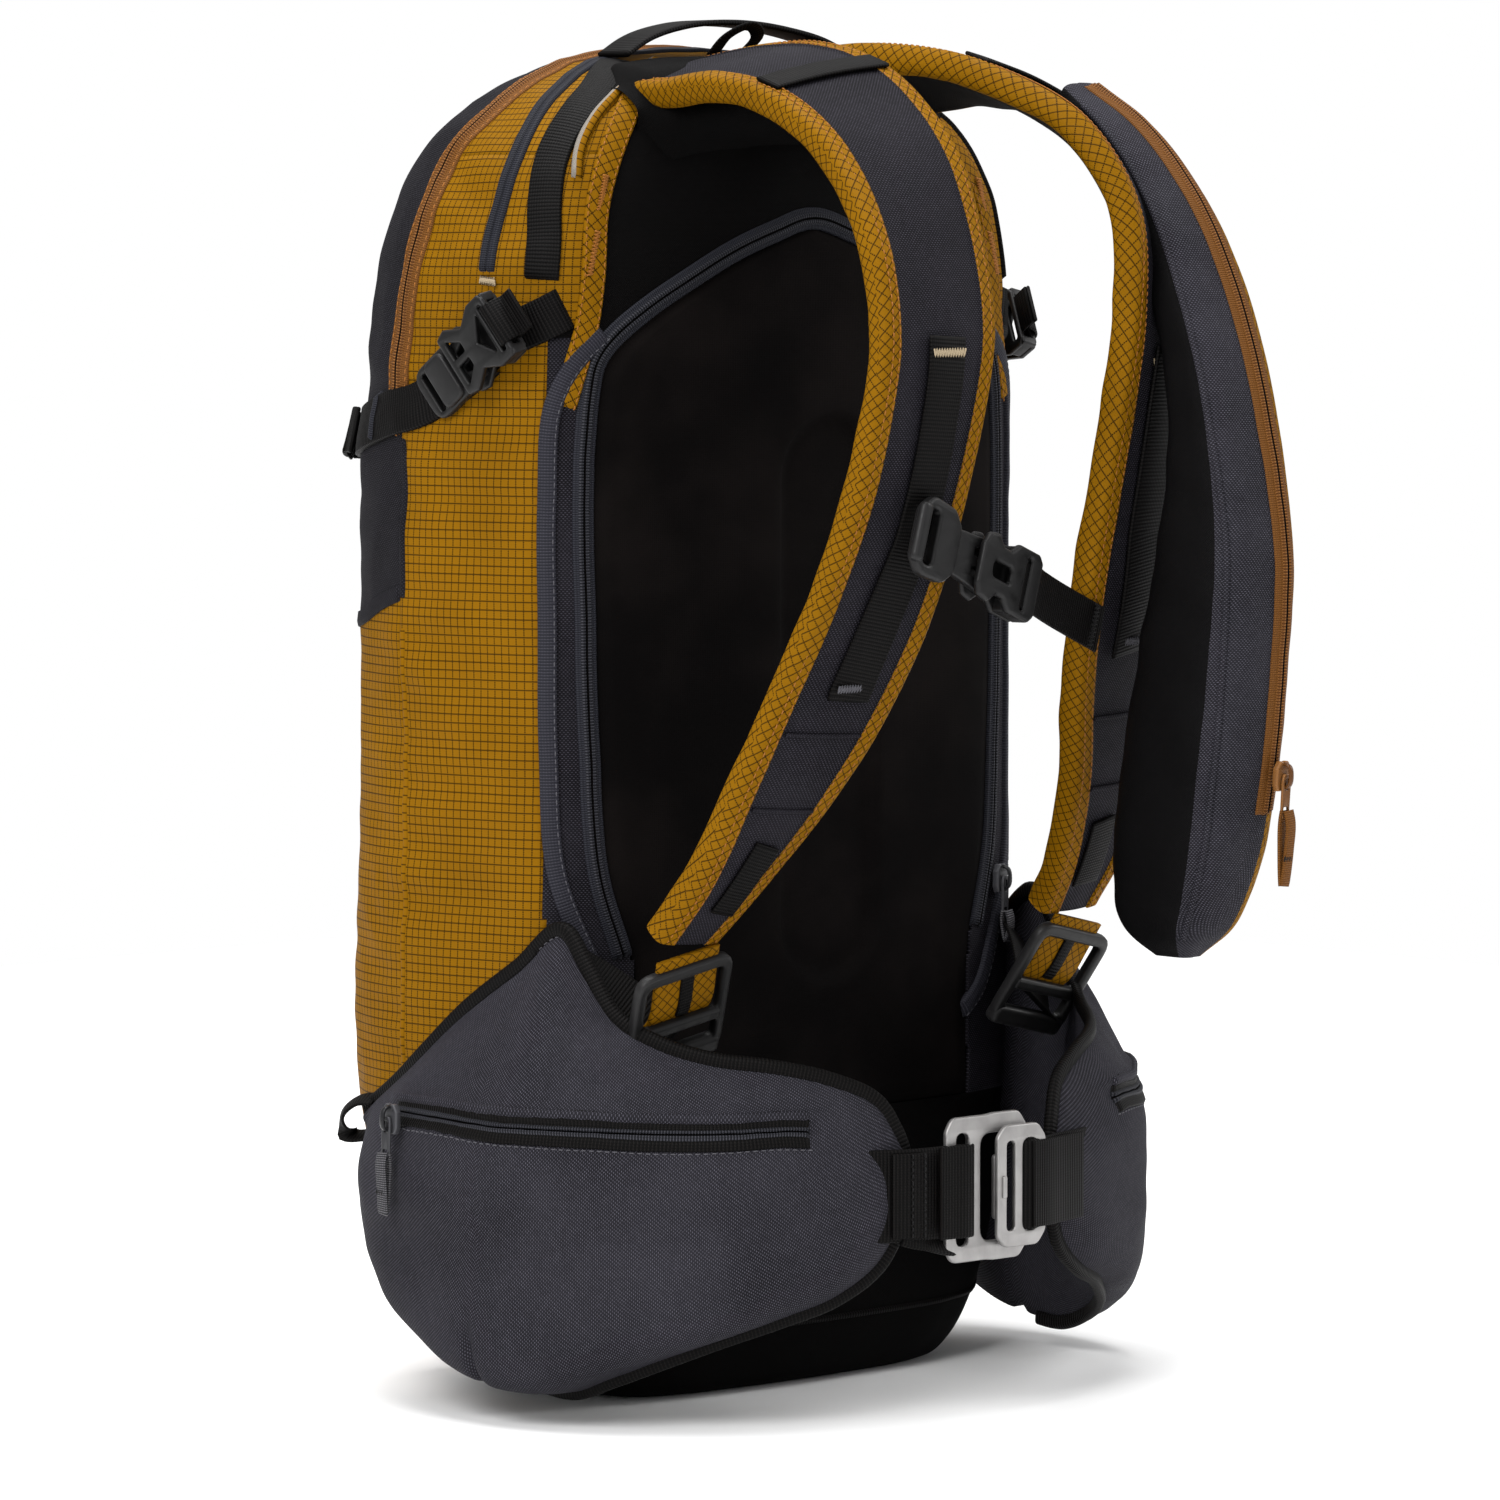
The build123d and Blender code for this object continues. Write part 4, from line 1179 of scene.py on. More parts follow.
def yoke_piece():
    """Gathered black cloth between the bag's top and the roots of both straps."""
    x = np.linspace(-84, 84, 110)
    section = smooth([(-52, 539), (-70, 538), (-84, 532), (-92, 522), (-91, 510), (-86, 500), (-78, 500),
                      (-66, 515), (-54, 528)], 60, closed=True)
    points = np.stack([np.repeat(x[:, None], 60, axis=1), np.repeat(section[None, :, 0], 110, axis=0),
                       np.repeat(section[None, :, 1], 110, axis=0)], axis=2)
    shrink = 1 - 0.5 * ease(np.abs(x), 70, 84)[:, None]
    points[..., 1] = -72 + (points[..., 1] + 72) * shrink
    points[..., 2] = 522 + (points[..., 2] - 522) * shrink - 4 * ease(np.abs(x), 40, 84)[:, None]
    stretched = points.copy()
    stretched[..., 0] *= 0.35
    fold = noise_at(stretched, 11, 4.0)
    points[..., 1] -= 1.6 * fold
    points[..., 2] += 0.8 * fold
    points = np.concatenate([points, points[:, :1]], axis=1)
    piece = grid_object("yoke_cloth", points, [black_cloth], flip=True)
    on_root(piece, "black_cloth", "yoke")


yoke_piece()


def haul():
    path = smooth([(-63, -45, 540), (-52, -45, 546), (-30, -45, 552), (-5, -45, 553.8), (25, -45, 551.5),
                   (50, -45, 546), (63, -45, 540)], 70)
    up = np.stack([path[:, 0] * 0.012, np.zeros(70), np.ones(70)], axis=1)
    loop = ribbon("haul_loop_web", path, unit(up), 19, 2.4, black_web)
    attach(loop, "haul_loop")
    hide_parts("haul_loop")
    hang = smooth([(-16, -52, 541), (-14, -60, 549), (-6, -64, 553), (2, -60, 549), (0, -52, 541)], 30)
    small = ribbon("hang_loop", hang, np.repeat(arr([[0, 0.5, 0.85]]), 30, axis=0), 6, 1.2, black_web)
    on_root(small, "webbing")


haul()


# ---------------------------------------------------------------- drink hose sleeve
SLEEVE = [  # outer y, z, inner y, z, middle x, half width
    (-174, 530, -169, 520, 75, 11), (-198, 514, -188, 499, 78, 15), (-228, 482, -210, 470, 79, 19),
    (-250, 438, -226, 432, 80, 21.5), (-265, 390, -231, 387, 80, 22.5), (-273, 340, -222, 337, 81, 23),
    (-271, 300, -212, 296, 81, 23), (-266, 255, -202, 250, 81, 23), (-256, 214, -197, 211, 82, 21),
    (-243, 190, -200, 189, 83, 16), (-230, 179, -211, 179, 84, 6)]
SLEEVE_RING = 96


def sleeve():
    rows = smooth(SLEEVE, 200)
    turn = np.linspace(0, 2 * math.pi, SLEEVE_RING, endpoint=False)
    c, s = np.cos(turn), np.sin(turn)
    boxy = 0.62
    ox = np.sign(s) * np.abs(s) ** boxy
    oy = np.sign(c) * np.abs(c) ** boxy
    middle = np.stack([rows[:, 4], (rows[:, 0] + rows[:, 2]) / 2, (rows[:, 1] + rows[:, 3]) / 2], axis=1)
    half = np.stack([np.zeros(200), (rows[:, 0] - rows[:, 2]) / 2, (rows[:, 1] - rows[:, 3]) / 2], axis=1)
    points = middle[:, None] + half[:, None] * oy[None, :, None]
    points[..., 0] += rows[:, 5:6] * ox[None]
    out = unit(np.cross(np.roll(points, -1, 1) - np.roll(points, 1, 1), np.gradient(points, axis=0)))
    out *= np.sign(((points - middle[:, None]) * out).sum(-1, keepdims=True))
    along = points.copy()
    along[..., 2] *= 1.6
    black_side = np.where(ox < -0.2, 1.0, 0.35)[None]
    points = points + out * ((1.2 * noise_at(points, 60, 8.0) + 0.9 * noise_at(along, 22,
                                                                               6.0)) * black_side)[..., None]
    points = np.concatenate([points, points[:, :1]], axis=1)
    slots = []
    for i in range(SLEEVE_RING):
        middle_x, middle_y = (ox[i] + ox[(i + 1) % SLEEVE_RING]) / 2, (oy[i] + oy[(i + 1) % SLEEVE_RING]) / 2
        if middle_y > 0.2 and middle_x > -0.93:
            slots.append(1 if middle_x < 0.42 else 2)
        elif middle_x > 0.5:
            slots.append(2)
        else:
            slots.append(0)
    cols = SLEEVE_RING + 1
    faces = grid_faces(200, cols).tolist()
    all_slots = slots * 199
    faces.append([199 * cols + i for i in range(SLEEVE_RING)])
    faces.append([i for i in range(SLEEVE_RING)][::-1])
    all_slots += [1, 1]
    pod = make_mesh("sleeve_pod", points.reshape(-1, 3), faces, grid_uv(points),
                    [black_lining, grey_cloth, ripstop_bias], all_slots)
    in_harness(pod, "grey_cloth", "hose_sleeve")
    tree = tree_of(points)
    out_y = lambda p: np.broadcast_to(arr([0.05, -1.0, 0.1]), p.shape)
    zip_x = rows[:, 4] + rows[:, 5] * 0.36
    path = np.stack([zip_x, rows[:, 0] - 1, rows[:, 1]], axis=1)
    path = path[(rows[:, 1] > 236)]
    strip = laid_zip("sleeve_zip_strip", tree, path, 12.0, 2.3, zip_tape_brown, coil_brown, out_y, high=0.9)
    in_harness(strip, "zip_brown", "sleeve_zip")
    edge = np.stack([rows[:, 4] - rows[:, 5] * 0.95, rows[:, 0] + 4, rows[:, 1]], axis=1)[8:-6]
    piping = laid("sleeve_piping", tree, edge, [(-1.5, -0.5), (-1.1, 0.9), (0, 1.3), (1.1, 0.9), (1.5, -0.5)],
                  [grey_cloth], out=lambda p: np.broadcast_to(arr([-0.7, -0.7, 0.1]), p.shape))
    in_harness(piping, "grey_cloth")
    return tree


sleeve()


# ---------------------------------------------------------------- hip belt
HIP_TOP = [(-140.5, 20, 114), (-142, -1, 127), (-143, -21, 142), (-140, -42, 160), (-134.5, -67, 178),
           (-132, -92, 194), (-131, -104, 180), (-127, -118, 160), (-118, -132, 151), (-107, -148, 145.5),
           (-88, -166, 142), (-68, -177, 136.5), (-50, -185, 127), (-42, -190, 111)]
HIP_ZIP = [(-143, 17, 108), (-155, -2, 116), (-162, -20, 120), (-167, -42, 121), (-168.5, -64, 121),
           (-167, -86, 120), (-160, -107, 120), (-149, -131, 120), (-132, -152, 119.5), (-113, -169, 119.5),
           (-93, -180, 120), (-72, -188, 118), (-54, -192, 112), (-43.5, -194, 103)]
HIP_OUT = [(-150, 15, 88), (-163, -3, 80), (-168.5, -20, 75), (-171, -40, 70), (-172, -62, 68),
           (-171, -84, 68), (-164, -105, 69), (-153, -130, 73), (-136, -151, 77), (-116, -171, 82),
           (-96, -182, 86), (-74, -191, 90), (-58, -195, 92), (-44.5, -197, 94)]
HIP_LOW = [(-143, 16, 66), (-155, -4, 50), (-162, -20, 40), (-166, -42, 29), (-167, -66, 19),
           (-164, -86, 14), (-157, -105, 14), (-147, -126, 22), (-130, -146, 31), (-110, -164, 39),
           (-92, -176, 47), (-72, -185, 55), (-56, -191, 67), (-43.5, -194, 84)]
HIP_BASE = [(-139, 18, 68), (-139, 0, 50), (-139, -20, 37), (-139, -42, 26), (-138, -64, 17),
            (-138, -84, 13), (-137, -104, 12), (-134, -122, 18.5), (-122, -140, 27), (-106, -155, 35),
            (-87, -170, 43), (-68, -179, 50), (-50, -186, 63), (-42, -190, 79)]
HIP_INNER = [(-134, 14), (-134, -4), (-134, -22), (-134, -42), (-133, -62), (-134, -84), (-132, -103),
             (-127, -116), (-115, -133), (-101, -149), (-82, -164), (-66, -172), (-49, -180), (-41, -186)]
HIP_COLS = 230


def hip_surface():
    """The fairing and wing as one padded cloth form, on the wearer's right."""
    guides = [smooth(g, HIP_COLS) for g in (HIP_TOP, HIP_ZIP, HIP_OUT, HIP_LOW, HIP_BASE)]
    inner = smooth(HIP_INNER, HIP_COLS)
    low = np.stack([inner[:, 0], inner[:, 1], guides[4][:, 2] + 9], axis=1)
    high = np.stack([inner[:, 0], inner[:, 1], guides[0][:, 2] - 9], axis=1)
    columns = []
    for i in range(HIP_COLS):
        top, zip_line, out, under, base = (g[i] for g in guides)
        upper = top + (zip_line - top) * 0.5 + unit(zip_line - inner_point(inner, i)) * 1.5
        front = smooth([top, upper, zip_line, out, under, base], 100)
        back = smooth([base, low[i], (low[i] + high[i]) / 2, high[i], top], 40)
        columns.append(np.vstack([front, back[1:]]))
    points = arr(columns)
    face = points[:, :100]
    out = normals_of(face)
    out *= np.sign((out * arr([-0.8, -0.6, 0])).sum(-1, keepdims=True).mean())
    z = face[..., 2]
    across = np.linspace(0, 1, 100)[None]
    middle = np.sin(across * math.pi) ** 0.7
    stretched = face.copy()
    stretched[..., 2] *= 1.5
    puff = 1.6 * noise_at(face, 55, 4.4) + 1.1 * noise_at(stretched, 24, 1.2)
    ridged = 1 - 2 * np.abs(noise_at(face, 30, 9.1))
    near_base = ease(across, 0.55, 0.95)
    puff = puff + 0.9 * ridged * near_base
    lip = 1.8 * np.exp(-((z - 124.5) / 2.2) ** 2) - 1.6 * np.exp(-((z - 118.5) / 3.4) ** 2)
    s = np.linspace(0, 1, HIP_COLS)[:, None]
    in_zip = ease(s, 0.12, 0.17) * ease(s, 0.88, 0.83)
    pleat = -3.4 * np.exp(-((face[..., 1] + 78) / 2.6) ** 2) * ease(z, 46, 26) * ease(across, 0.6, 0.75)
    total = (puff * middle + lip * in_zip * ease(across, 0.02, 0.1) + pleat)
    points[:, :100] = face + out * total[..., None]
    points[..., 2] = np.maximum(points[..., 2], 10.5)
    return points, guides


def inner_point(inner, i):
    return arr([inner[i, 0], inner[i, 1], 110.0])


hip_points, hip_guides = hip_surface()
hip_tree = tree_of(hip_points[:, :100])


def hip_out(points):
    middle = points.copy()
    middle[..., 0] = np.clip(points[..., 0], -120, -40)
    middle[..., 1] = np.clip(points[..., 1], -120, 0) * 0.6
    middle[..., 2] = np.clip(points[..., 2], 60, 110)
    return unit(points - middle)


def on_hip(obj, nodes=(), both=True):
    """A piece of the right hip belt and its copy on the left, both baked into place."""
    made = []
    for side, name in ((-1, "right"), (1, "left")):
        if side > 0 and not both:
            continue
        piece = obj if side < 0 else mirror_object(obj, obj.name.replace("right", "left"))
        made.append(piece)
    for piece, side, name in zip(made, (-1, 1), ("right", "left")):
        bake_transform(piece)
        if nodes:
            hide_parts(*[f"{name}_{node}" for node in nodes])
    return made


def binding_sweep(name, path, out, material, half=3.3, thick=1.7):
    """A folded tape along an edge."""
    side = unit(np.cross(tangents(path), out))
    up = unit(np.cross(side, tangents(path)))
    turn = np.linspace(0, 2 * math.pi, 14, endpoint=False)
    boxy = [(half * math.copysign(abs(math.cos(a)) ** 0.6, math.cos(a)), thick * math.sin(a)) for a in turn]
    return sweep(name, path, side, up, boxy, [material])


def hip_belt():
    shell = grid_object("right_hip_shell", hip_points, [grey_cloth])
    for piece in on_hip(shell, ("hip_fairing", "wing_pad", "wing_pocket")):
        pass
    top, _, _, _, base = hip_guides
    last_bag = int(HIP_COLS * 5 / 13)
    front = top[: last_bag + 2]
    near = front + arr([-0.6, 0, 0])
    out = np.repeat(arr([[-1.0, -0.15, 0.25]]), len(near), axis=0)
    on_hip(binding_sweep("right_fairing_binding", near, unit(out), black_web, 3.4, 1.8),
           ("ski_loop",))
    edge = np.vstack([top[last_bag - 1:], base[::-1][: HIP_COLS - last_bag - 6]])
    edge = smooth(edge[::4], 260)
    middle = arr([-80, -120, 95])
    out = []
    for point in edge:
        way = arr([point[0] * 0.6 - 20, point[1] + 40, 0])
        out.append(unit(way))
    on_hip(binding_sweep("right_wing_binding", edge, arr(out), black_web, 3.4, 2.4))
    inside = edge + (middle - edge) / np.linalg.norm(middle - edge, axis=1, keepdims=True) * 5.0
    spot, way = snap(hip_tree, inside, hip_out(inside))
    on_hip(stitches("right_wing_thread", spot[3:-3], way[3:-3], thread_grey, 3.4, 2.3, lift=0.25))
    s = slice(int(HIP_COLS * 0.17), int(HIP_COLS * 0.84))
    zip_line = hip_guides[1][s] + arr([0, 0, -1.5])
    strip = laid_zip("right_pocket_zip", hip_tree, zip_line, 13.0, 2.8, black_web, coil_grey, hip_out,
                     high=1.2)
    on_hip(strip)
    lip_line = zip_line + arr([0, 0, 6.4])
    lip = laid("right_zip_lip", hip_tree, lip_line, [(-1.6, -0.6), (-1.5, 1.0), (-0.6, 1.7), (0.8, 1.4),
                                                     (3.0, 0.4),
                                                      (3.4, -0.5)], [grey_cloth], out=hip_out)
    on_hip(lip)
    row = seam_thread("right_zip_thread", hip_tree, zip_line - arr([0, 0, 7.5]), 0.0, thread_grey, hip_out)
    on_hip(row)
    loop = smooth([(-141, 14, 118), (-144, 21, 117), (-147, 27, 111), (-145, 26, 103), (-141, 17, 103)], 30)
    small = ribbon("right_ski_tail", loop, np.repeat(unit(arr([[-0.5, 0.2, 0.8]])), 30, axis=0), 9, 1.4,
                   black_web)
    on_hip(small)


hip_belt()


# ---------------------------------------------------------------- moulded and metal hardware
def basis(origin, x_axis, normal):
    """A rotation from two directions, and the origin in millimetres."""
    z_axis = unit(arr(normal))
    x_axis = arr(x_axis) - z_axis * (arr(x_axis) @ z_axis)
    x_axis = unit(x_axis)
    y_axis = np.cross(z_axis, x_axis)
    return np.column_stack([x_axis, y_axis, z_axis]), arr(origin)


def rounded(points, radius, steps=6):
    """An outline with its corners rounded; radius may be one value or one per corner."""
    points = arr(points)
    count = len(points)
    radii = [radius] * count if np.isscalar(radius) else radius
    out = []
    for i in range(count):
        before, here, after = points[i - 1], points[i], points[(i + 1) % count]
        a, b = unit(before - here), unit(after - here)
        angle = math.acos(float(np.clip(a @ b, -1, 1)))
        reach = min(radii[i] / math.tan(angle / 2), 0.48 * min(np.linalg.norm(before - here),
                                                                np.linalg.norm(after - here)))
        start, end = here + a * reach, here + b * reach
        for t in np.linspace(0, 1, steps):
            out.append(tuple((1 - t) ** 2 * start + 2 * t * (1 - t) * here + t * t * end))
    return out


def box_outline(x_low, x_high, y_low, y_high, radius):
    corners = [(x_low, y_low), (x_high, y_low), (x_high, y_high), (x_low, y_high)]
    return rounded(corners, radius)


def slab(name, outlines, low, high, bevel, place, material):
    """A flat part with rounded edges: the first outline is its edge, the others are holes."""
    curve = bpy.data.curves.new(name, "CURVE")
    curve.dimensions = "2D"
    curve.fill_mode = "BOTH"
    curve.extrude = ((high - low) / 2 - bevel) * MM
    curve.bevel_depth = bevel * MM
    curve.bevel_resolution = 2
    curve.offset = -bevel * MM
    for index, outline in enumerate(outlines):
        line = arr(outline)
        turn = np.sum(line[:, 0] * np.roll(line[:, 1], -1) - line[:, 1] * np.roll(line[:, 0], -1))
        if (turn > 0) != (index == 0):
            line = line[::-1]
        spline = curve.splines.new("POLY")
        spline.points.add(len(line) - 1)
        for point, (x, y) in zip(spline.points, line):
            point.co = (x * MM, y * MM, 0, 1)
        spline.use_cyclic_u = True
    holder = bpy.data.objects.new(name + "_curve", curve)
    bpy.context.scene.collection.objects.link(holder)
    graph = bpy.context.evaluated_depsgraph_get()
    mesh = bpy.data.meshes.new_from_object(holder.evaluated_get(graph))
    bpy.data.objects.remove(holder)
    turn, origin = place
    verts = np.empty(len(mesh.vertices) * 3)
    mesh.vertices.foreach_get("co", verts)
    verts = verts.reshape(-1, 3)
    verts[:, 2] += (low + high) / 2 * MM
    verts = verts @ turn.T + origin * MM
    mesh.vertices.foreach_set("co", verts.ravel())
    mesh.materials.clear()
    mesh.materials.append(material)
    work = bmesh.new()
    work.from_mesh(mesh)
    bmesh.ops.remove_doubles(work, verts=work.verts, dist=1e-6)
    bmesh.ops.recalc_face_normals(work, faces=work.faces)
    work.to_mesh(mesh)
    work.free()
    mesh.polygons.foreach_set("use_smooth", [True] * len(mesh.polygons))
    mesh.set_sharp_from_angle(angle=math.radians(38))
    if not mesh.uv_layers:
        mesh.uv_layers.new(name="UVMap")
    obj = bpy.data.objects.new(name, mesh)
    bpy.context.scene.collection.objects.link(obj)
    return obj


def local_line(place, points):
    turn, origin = place
    return arr(points) @ turn.T + origin


def dress(obj, body, slot_name, *nodes):
    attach(obj, body)
    if nodes:
        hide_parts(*nodes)
    return obj


def belt_plates():
    """Two flat alloy plates: the hooked one hangs in front of the looped one."""
    half = 29.5
    hat = [(-27.5, -half + 6), (-24, -half + 0.5), (-6, -half + 0.5), (-1, -half), (13, -half),
           (18, -half + 6),
           (17.5, half - 6), (13, half), (-1, half), (-6, half - 0.5), (-24, half - 0.5), (-27.5, half - 6)]
    place = basis((0, -199.8, 91), (1, 0, 0), (0, -1, 0))
    windows = [box_outline(-22, -15.2, -22.5, 22.5, 3.2), box_outline(-8.5, 12.5, -21.5, 21.5, 5.5)]
    big = slab("loop_plate", [rounded(hat, 5)] + windows, -1.3, 1.3, 0.8, place, alloy)
    dress(big, "right_wing", "aluminium", "belt_loop_plate")
    place = basis((0, -204.6, 91), (1, 0, 0), (0, -1, 0))
    outline = [(-3.5, -20), (1, -24.5), (19, -24.5), (23.5, -19), (23.5, 19), (19, 24.5), (1, 24.5),
               (-3.5, 20)]
    small = slab("hook_plate", [rounded(outline, 5), box_outline(10.5, 18.5, -18.5, 18.5, 3.8),
                                box_outline(1.6, 6.4, -18, 18, 2.2)], -1.3, 1.3, 0.8, place, alloy)
    dress(small, "hook_plate", "aluminium", "belt_hook_plate")
    ridge = slab("hook_ridge", [box_outline(-1.4, 0.8, -4.5, 4.5, 1.0)], 1.1, 2.3, 0.5, place, alloy)
    dress(ridge, "hook_plate", "aluminium")
    hook = slab("hook_tongue", [box_outline(-3.0, 3.5, -13, 13, 2.0)], -3.6, -1.0, 0.7, place, alloy)
    dress(hook, "hook_plate", "aluminium")


def wavy_ribbon(name, points, up, width, thick, count=60, twist=None):
    path = smooth(points, count)
    ups = np.repeat(arr([up]), count, axis=0) if twist is None else arr([
        unit(arr(up) * (1 - t) + arr(twist) * t) for t in np.sin(np.linspace(0, math.pi, count))])
    return ribbon(name, path, unit(ups), width, thick, black_web)


def belt_webbing():
    z = 91
    front = wavy_ribbon("right_belt_web", [(-70, -186, z), (-54, -193.5, z), (-46, -197.5, z), (-38, -199, z),
                                           (-28, -199.5, z), (-20, -200.5, z), (-16, -203, z), (-19, -204, z),
                                           (-26, -203, z), (-33, -202.5, z)], (0, -1, 0), 37, 1.7, 70)
    dress(front, "right_wing", "webbing", "right_belt_webbing")
    patch = wavy_ribbon("right_belt_end", [(-53, -196.2, z), (-47, -199.2, z), (-40, -200.8, z)], (0, -1, 0),
                        34, 1.7, 20)
    dress(patch, "right_wing", "webbing")
    for x, y in ((-46.5, -201.2), (-41, -202.6)):
        line = arr([(x, y, z - 17 + t) for t in range(0, 35)])
        row = stitches(f"belt_end_thread_{abs(int(x))}", line, np.repeat(arr([[0, -1.0, 0]]), 35, axis=0),
                       thread_black,
                       2.6, 1.9, 0.35, 0.25)
        dress(row, "right_wing", "webbing")
    fold = wavy_ribbon("right_belt_fold", [(-44, -196, z - 6), (-36, -193.5, z - 10), (-28, -191.5, z - 14),
                                           (-16, -190, z - 15), (-6, -191, z - 12)], (0, -1, 0.1), 30, 1.7,
                                           50,
                       twist=(0.1, -0.75, 0.65))
    dress(fold, "right_wing", "webbing")
    web = wavy_ribbon("left_belt_web", [(70, -186, z), (55, -192.5, z), (44, -196, z), (32, -199, z),
                                        (22, -203, z),
                                        (15, -205.4, z), (11.5, -203.4, z), (15, -201.6, z), (26, -198.4, z)],
                      (0, -1, 0), 36, 1.7, 70)
    dress(web, "left_wing", "webbing", "left_belt_webbing")
    tail = wavy_ribbon("left_belt_tail", [(14.5, -206.3, z), (24, -205, z), (38, -201, z), (52, -197, z)],
                       (0, -1, 0),
                       35, 1.6, 40)
    dress(tail, "left_wing", "webbing")


belt_plates()
belt_webbing()


def rotate_xy(lean, roll):
    a, b = math.radians(lean), math.radians(roll)
    rx = arr([(1, 0, 0), (0, math.cos(a), -math.sin(a)), (0, math.sin(a), math.cos(a))])
    ry = arr([(math.cos(b), 0, math.sin(b)), (0, 1, 0), (-math.sin(b), 0, math.cos(b))])
    return rx @ ry


def ladder_locks():
    """Square webbing adjusters at the low ends of the shoulder straps."""
    stand = arr([(1, 0, 0), (0, 0, -1), (0, 1, 0)])
    place = (rotate_xy(28, -14) @ stand, arr([-107.7, -137.0, 180.0]))
    outline = box_outline(-25, 22, -45, 3, 8)
    upper = box_outline(-20, 17.4, -23.5, -2.6, 3)
    lower = box_outline(-20, 17.4, -37, -28.5, 2.5)
    frame_piece = slab("right_lock_frame", [outline, upper, lower], -2.4, 2.4, 1.5, place, plastic)
    bar = slab("right_lock_bar", [box_outline(-24, 21, -45.5, -37, 3.4)], -3.4, 3.2, 2.2, place, plastic)
    middle = slab("right_lock_middle", [box_outline(-22, 19, -28.5, -23, 2)], -1.8, 3.0, 1.6, place, plastic)
    for obj, nodes in ((frame_piece, ("adjuster",)), (bar, ()), (middle, ())):
        mirrored_obj = mirror_object(obj, obj.name.replace("right", "left"))
        dress(obj, "right_adjuster", "buckle_plastic", *[f"right_{n}" for n in nodes])
        dress(mirrored_obj, "left_adjuster", "buckle_plastic", *[f"left_{n}" for n in nodes])
    for side, name in ((-1, "right"), (1, "left")):
        tongue = local_line(place, [(0, 7, -1.2), (0, 1, -1.0), (0, -8, -0.6), (0, -16, -0.4), (0, -22, -1.6),
                                    (0, -25.5, -3.4)])
        path = smooth(tongue, 40)
        up = np.repeat(place[0][:, 2][None], 40, axis=0)
        if side > 0:
            path, up = mirror_points(path), mirror_points(up)
        wide = ribbon(f"{name}_strap_end", path, up, 31, 2.2, ripstop_bias, -1.0)
        dress(wide, f"{name}_adjuster", "yellow_ripstop")
        core = ribbon(f"{name}_end_core", path[6:34], up[6:34], 6.5, 1.2, black_web, 1.1)
        dress(core, f"{name}_adjuster", "webbing")
        low = smooth([(-104.5, -121.0, 149), (-106, -116, 152), (-112, -108, 160), (-119, -98, 168),
                      (-124, -88, 174),
                      (-127, -80, 178)], 50)
        ups = np.repeat(unit(arr([[-0.35, -0.75, 0.35]])), 50, axis=0)
        if side > 0:
            low, ups = mirror_points(low), mirror_points(ups)
        web = ribbon(f"{name}_lower_web", low, ups, 27, 1.7, black_web)
        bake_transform(web)
        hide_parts(f"{name}_lower_webbing")


ladder_locks()

STERNUM_START = arr([-62.0, -229.0, 350.0])
STERNUM_END = arr([45.5, -211.0, 312.0])


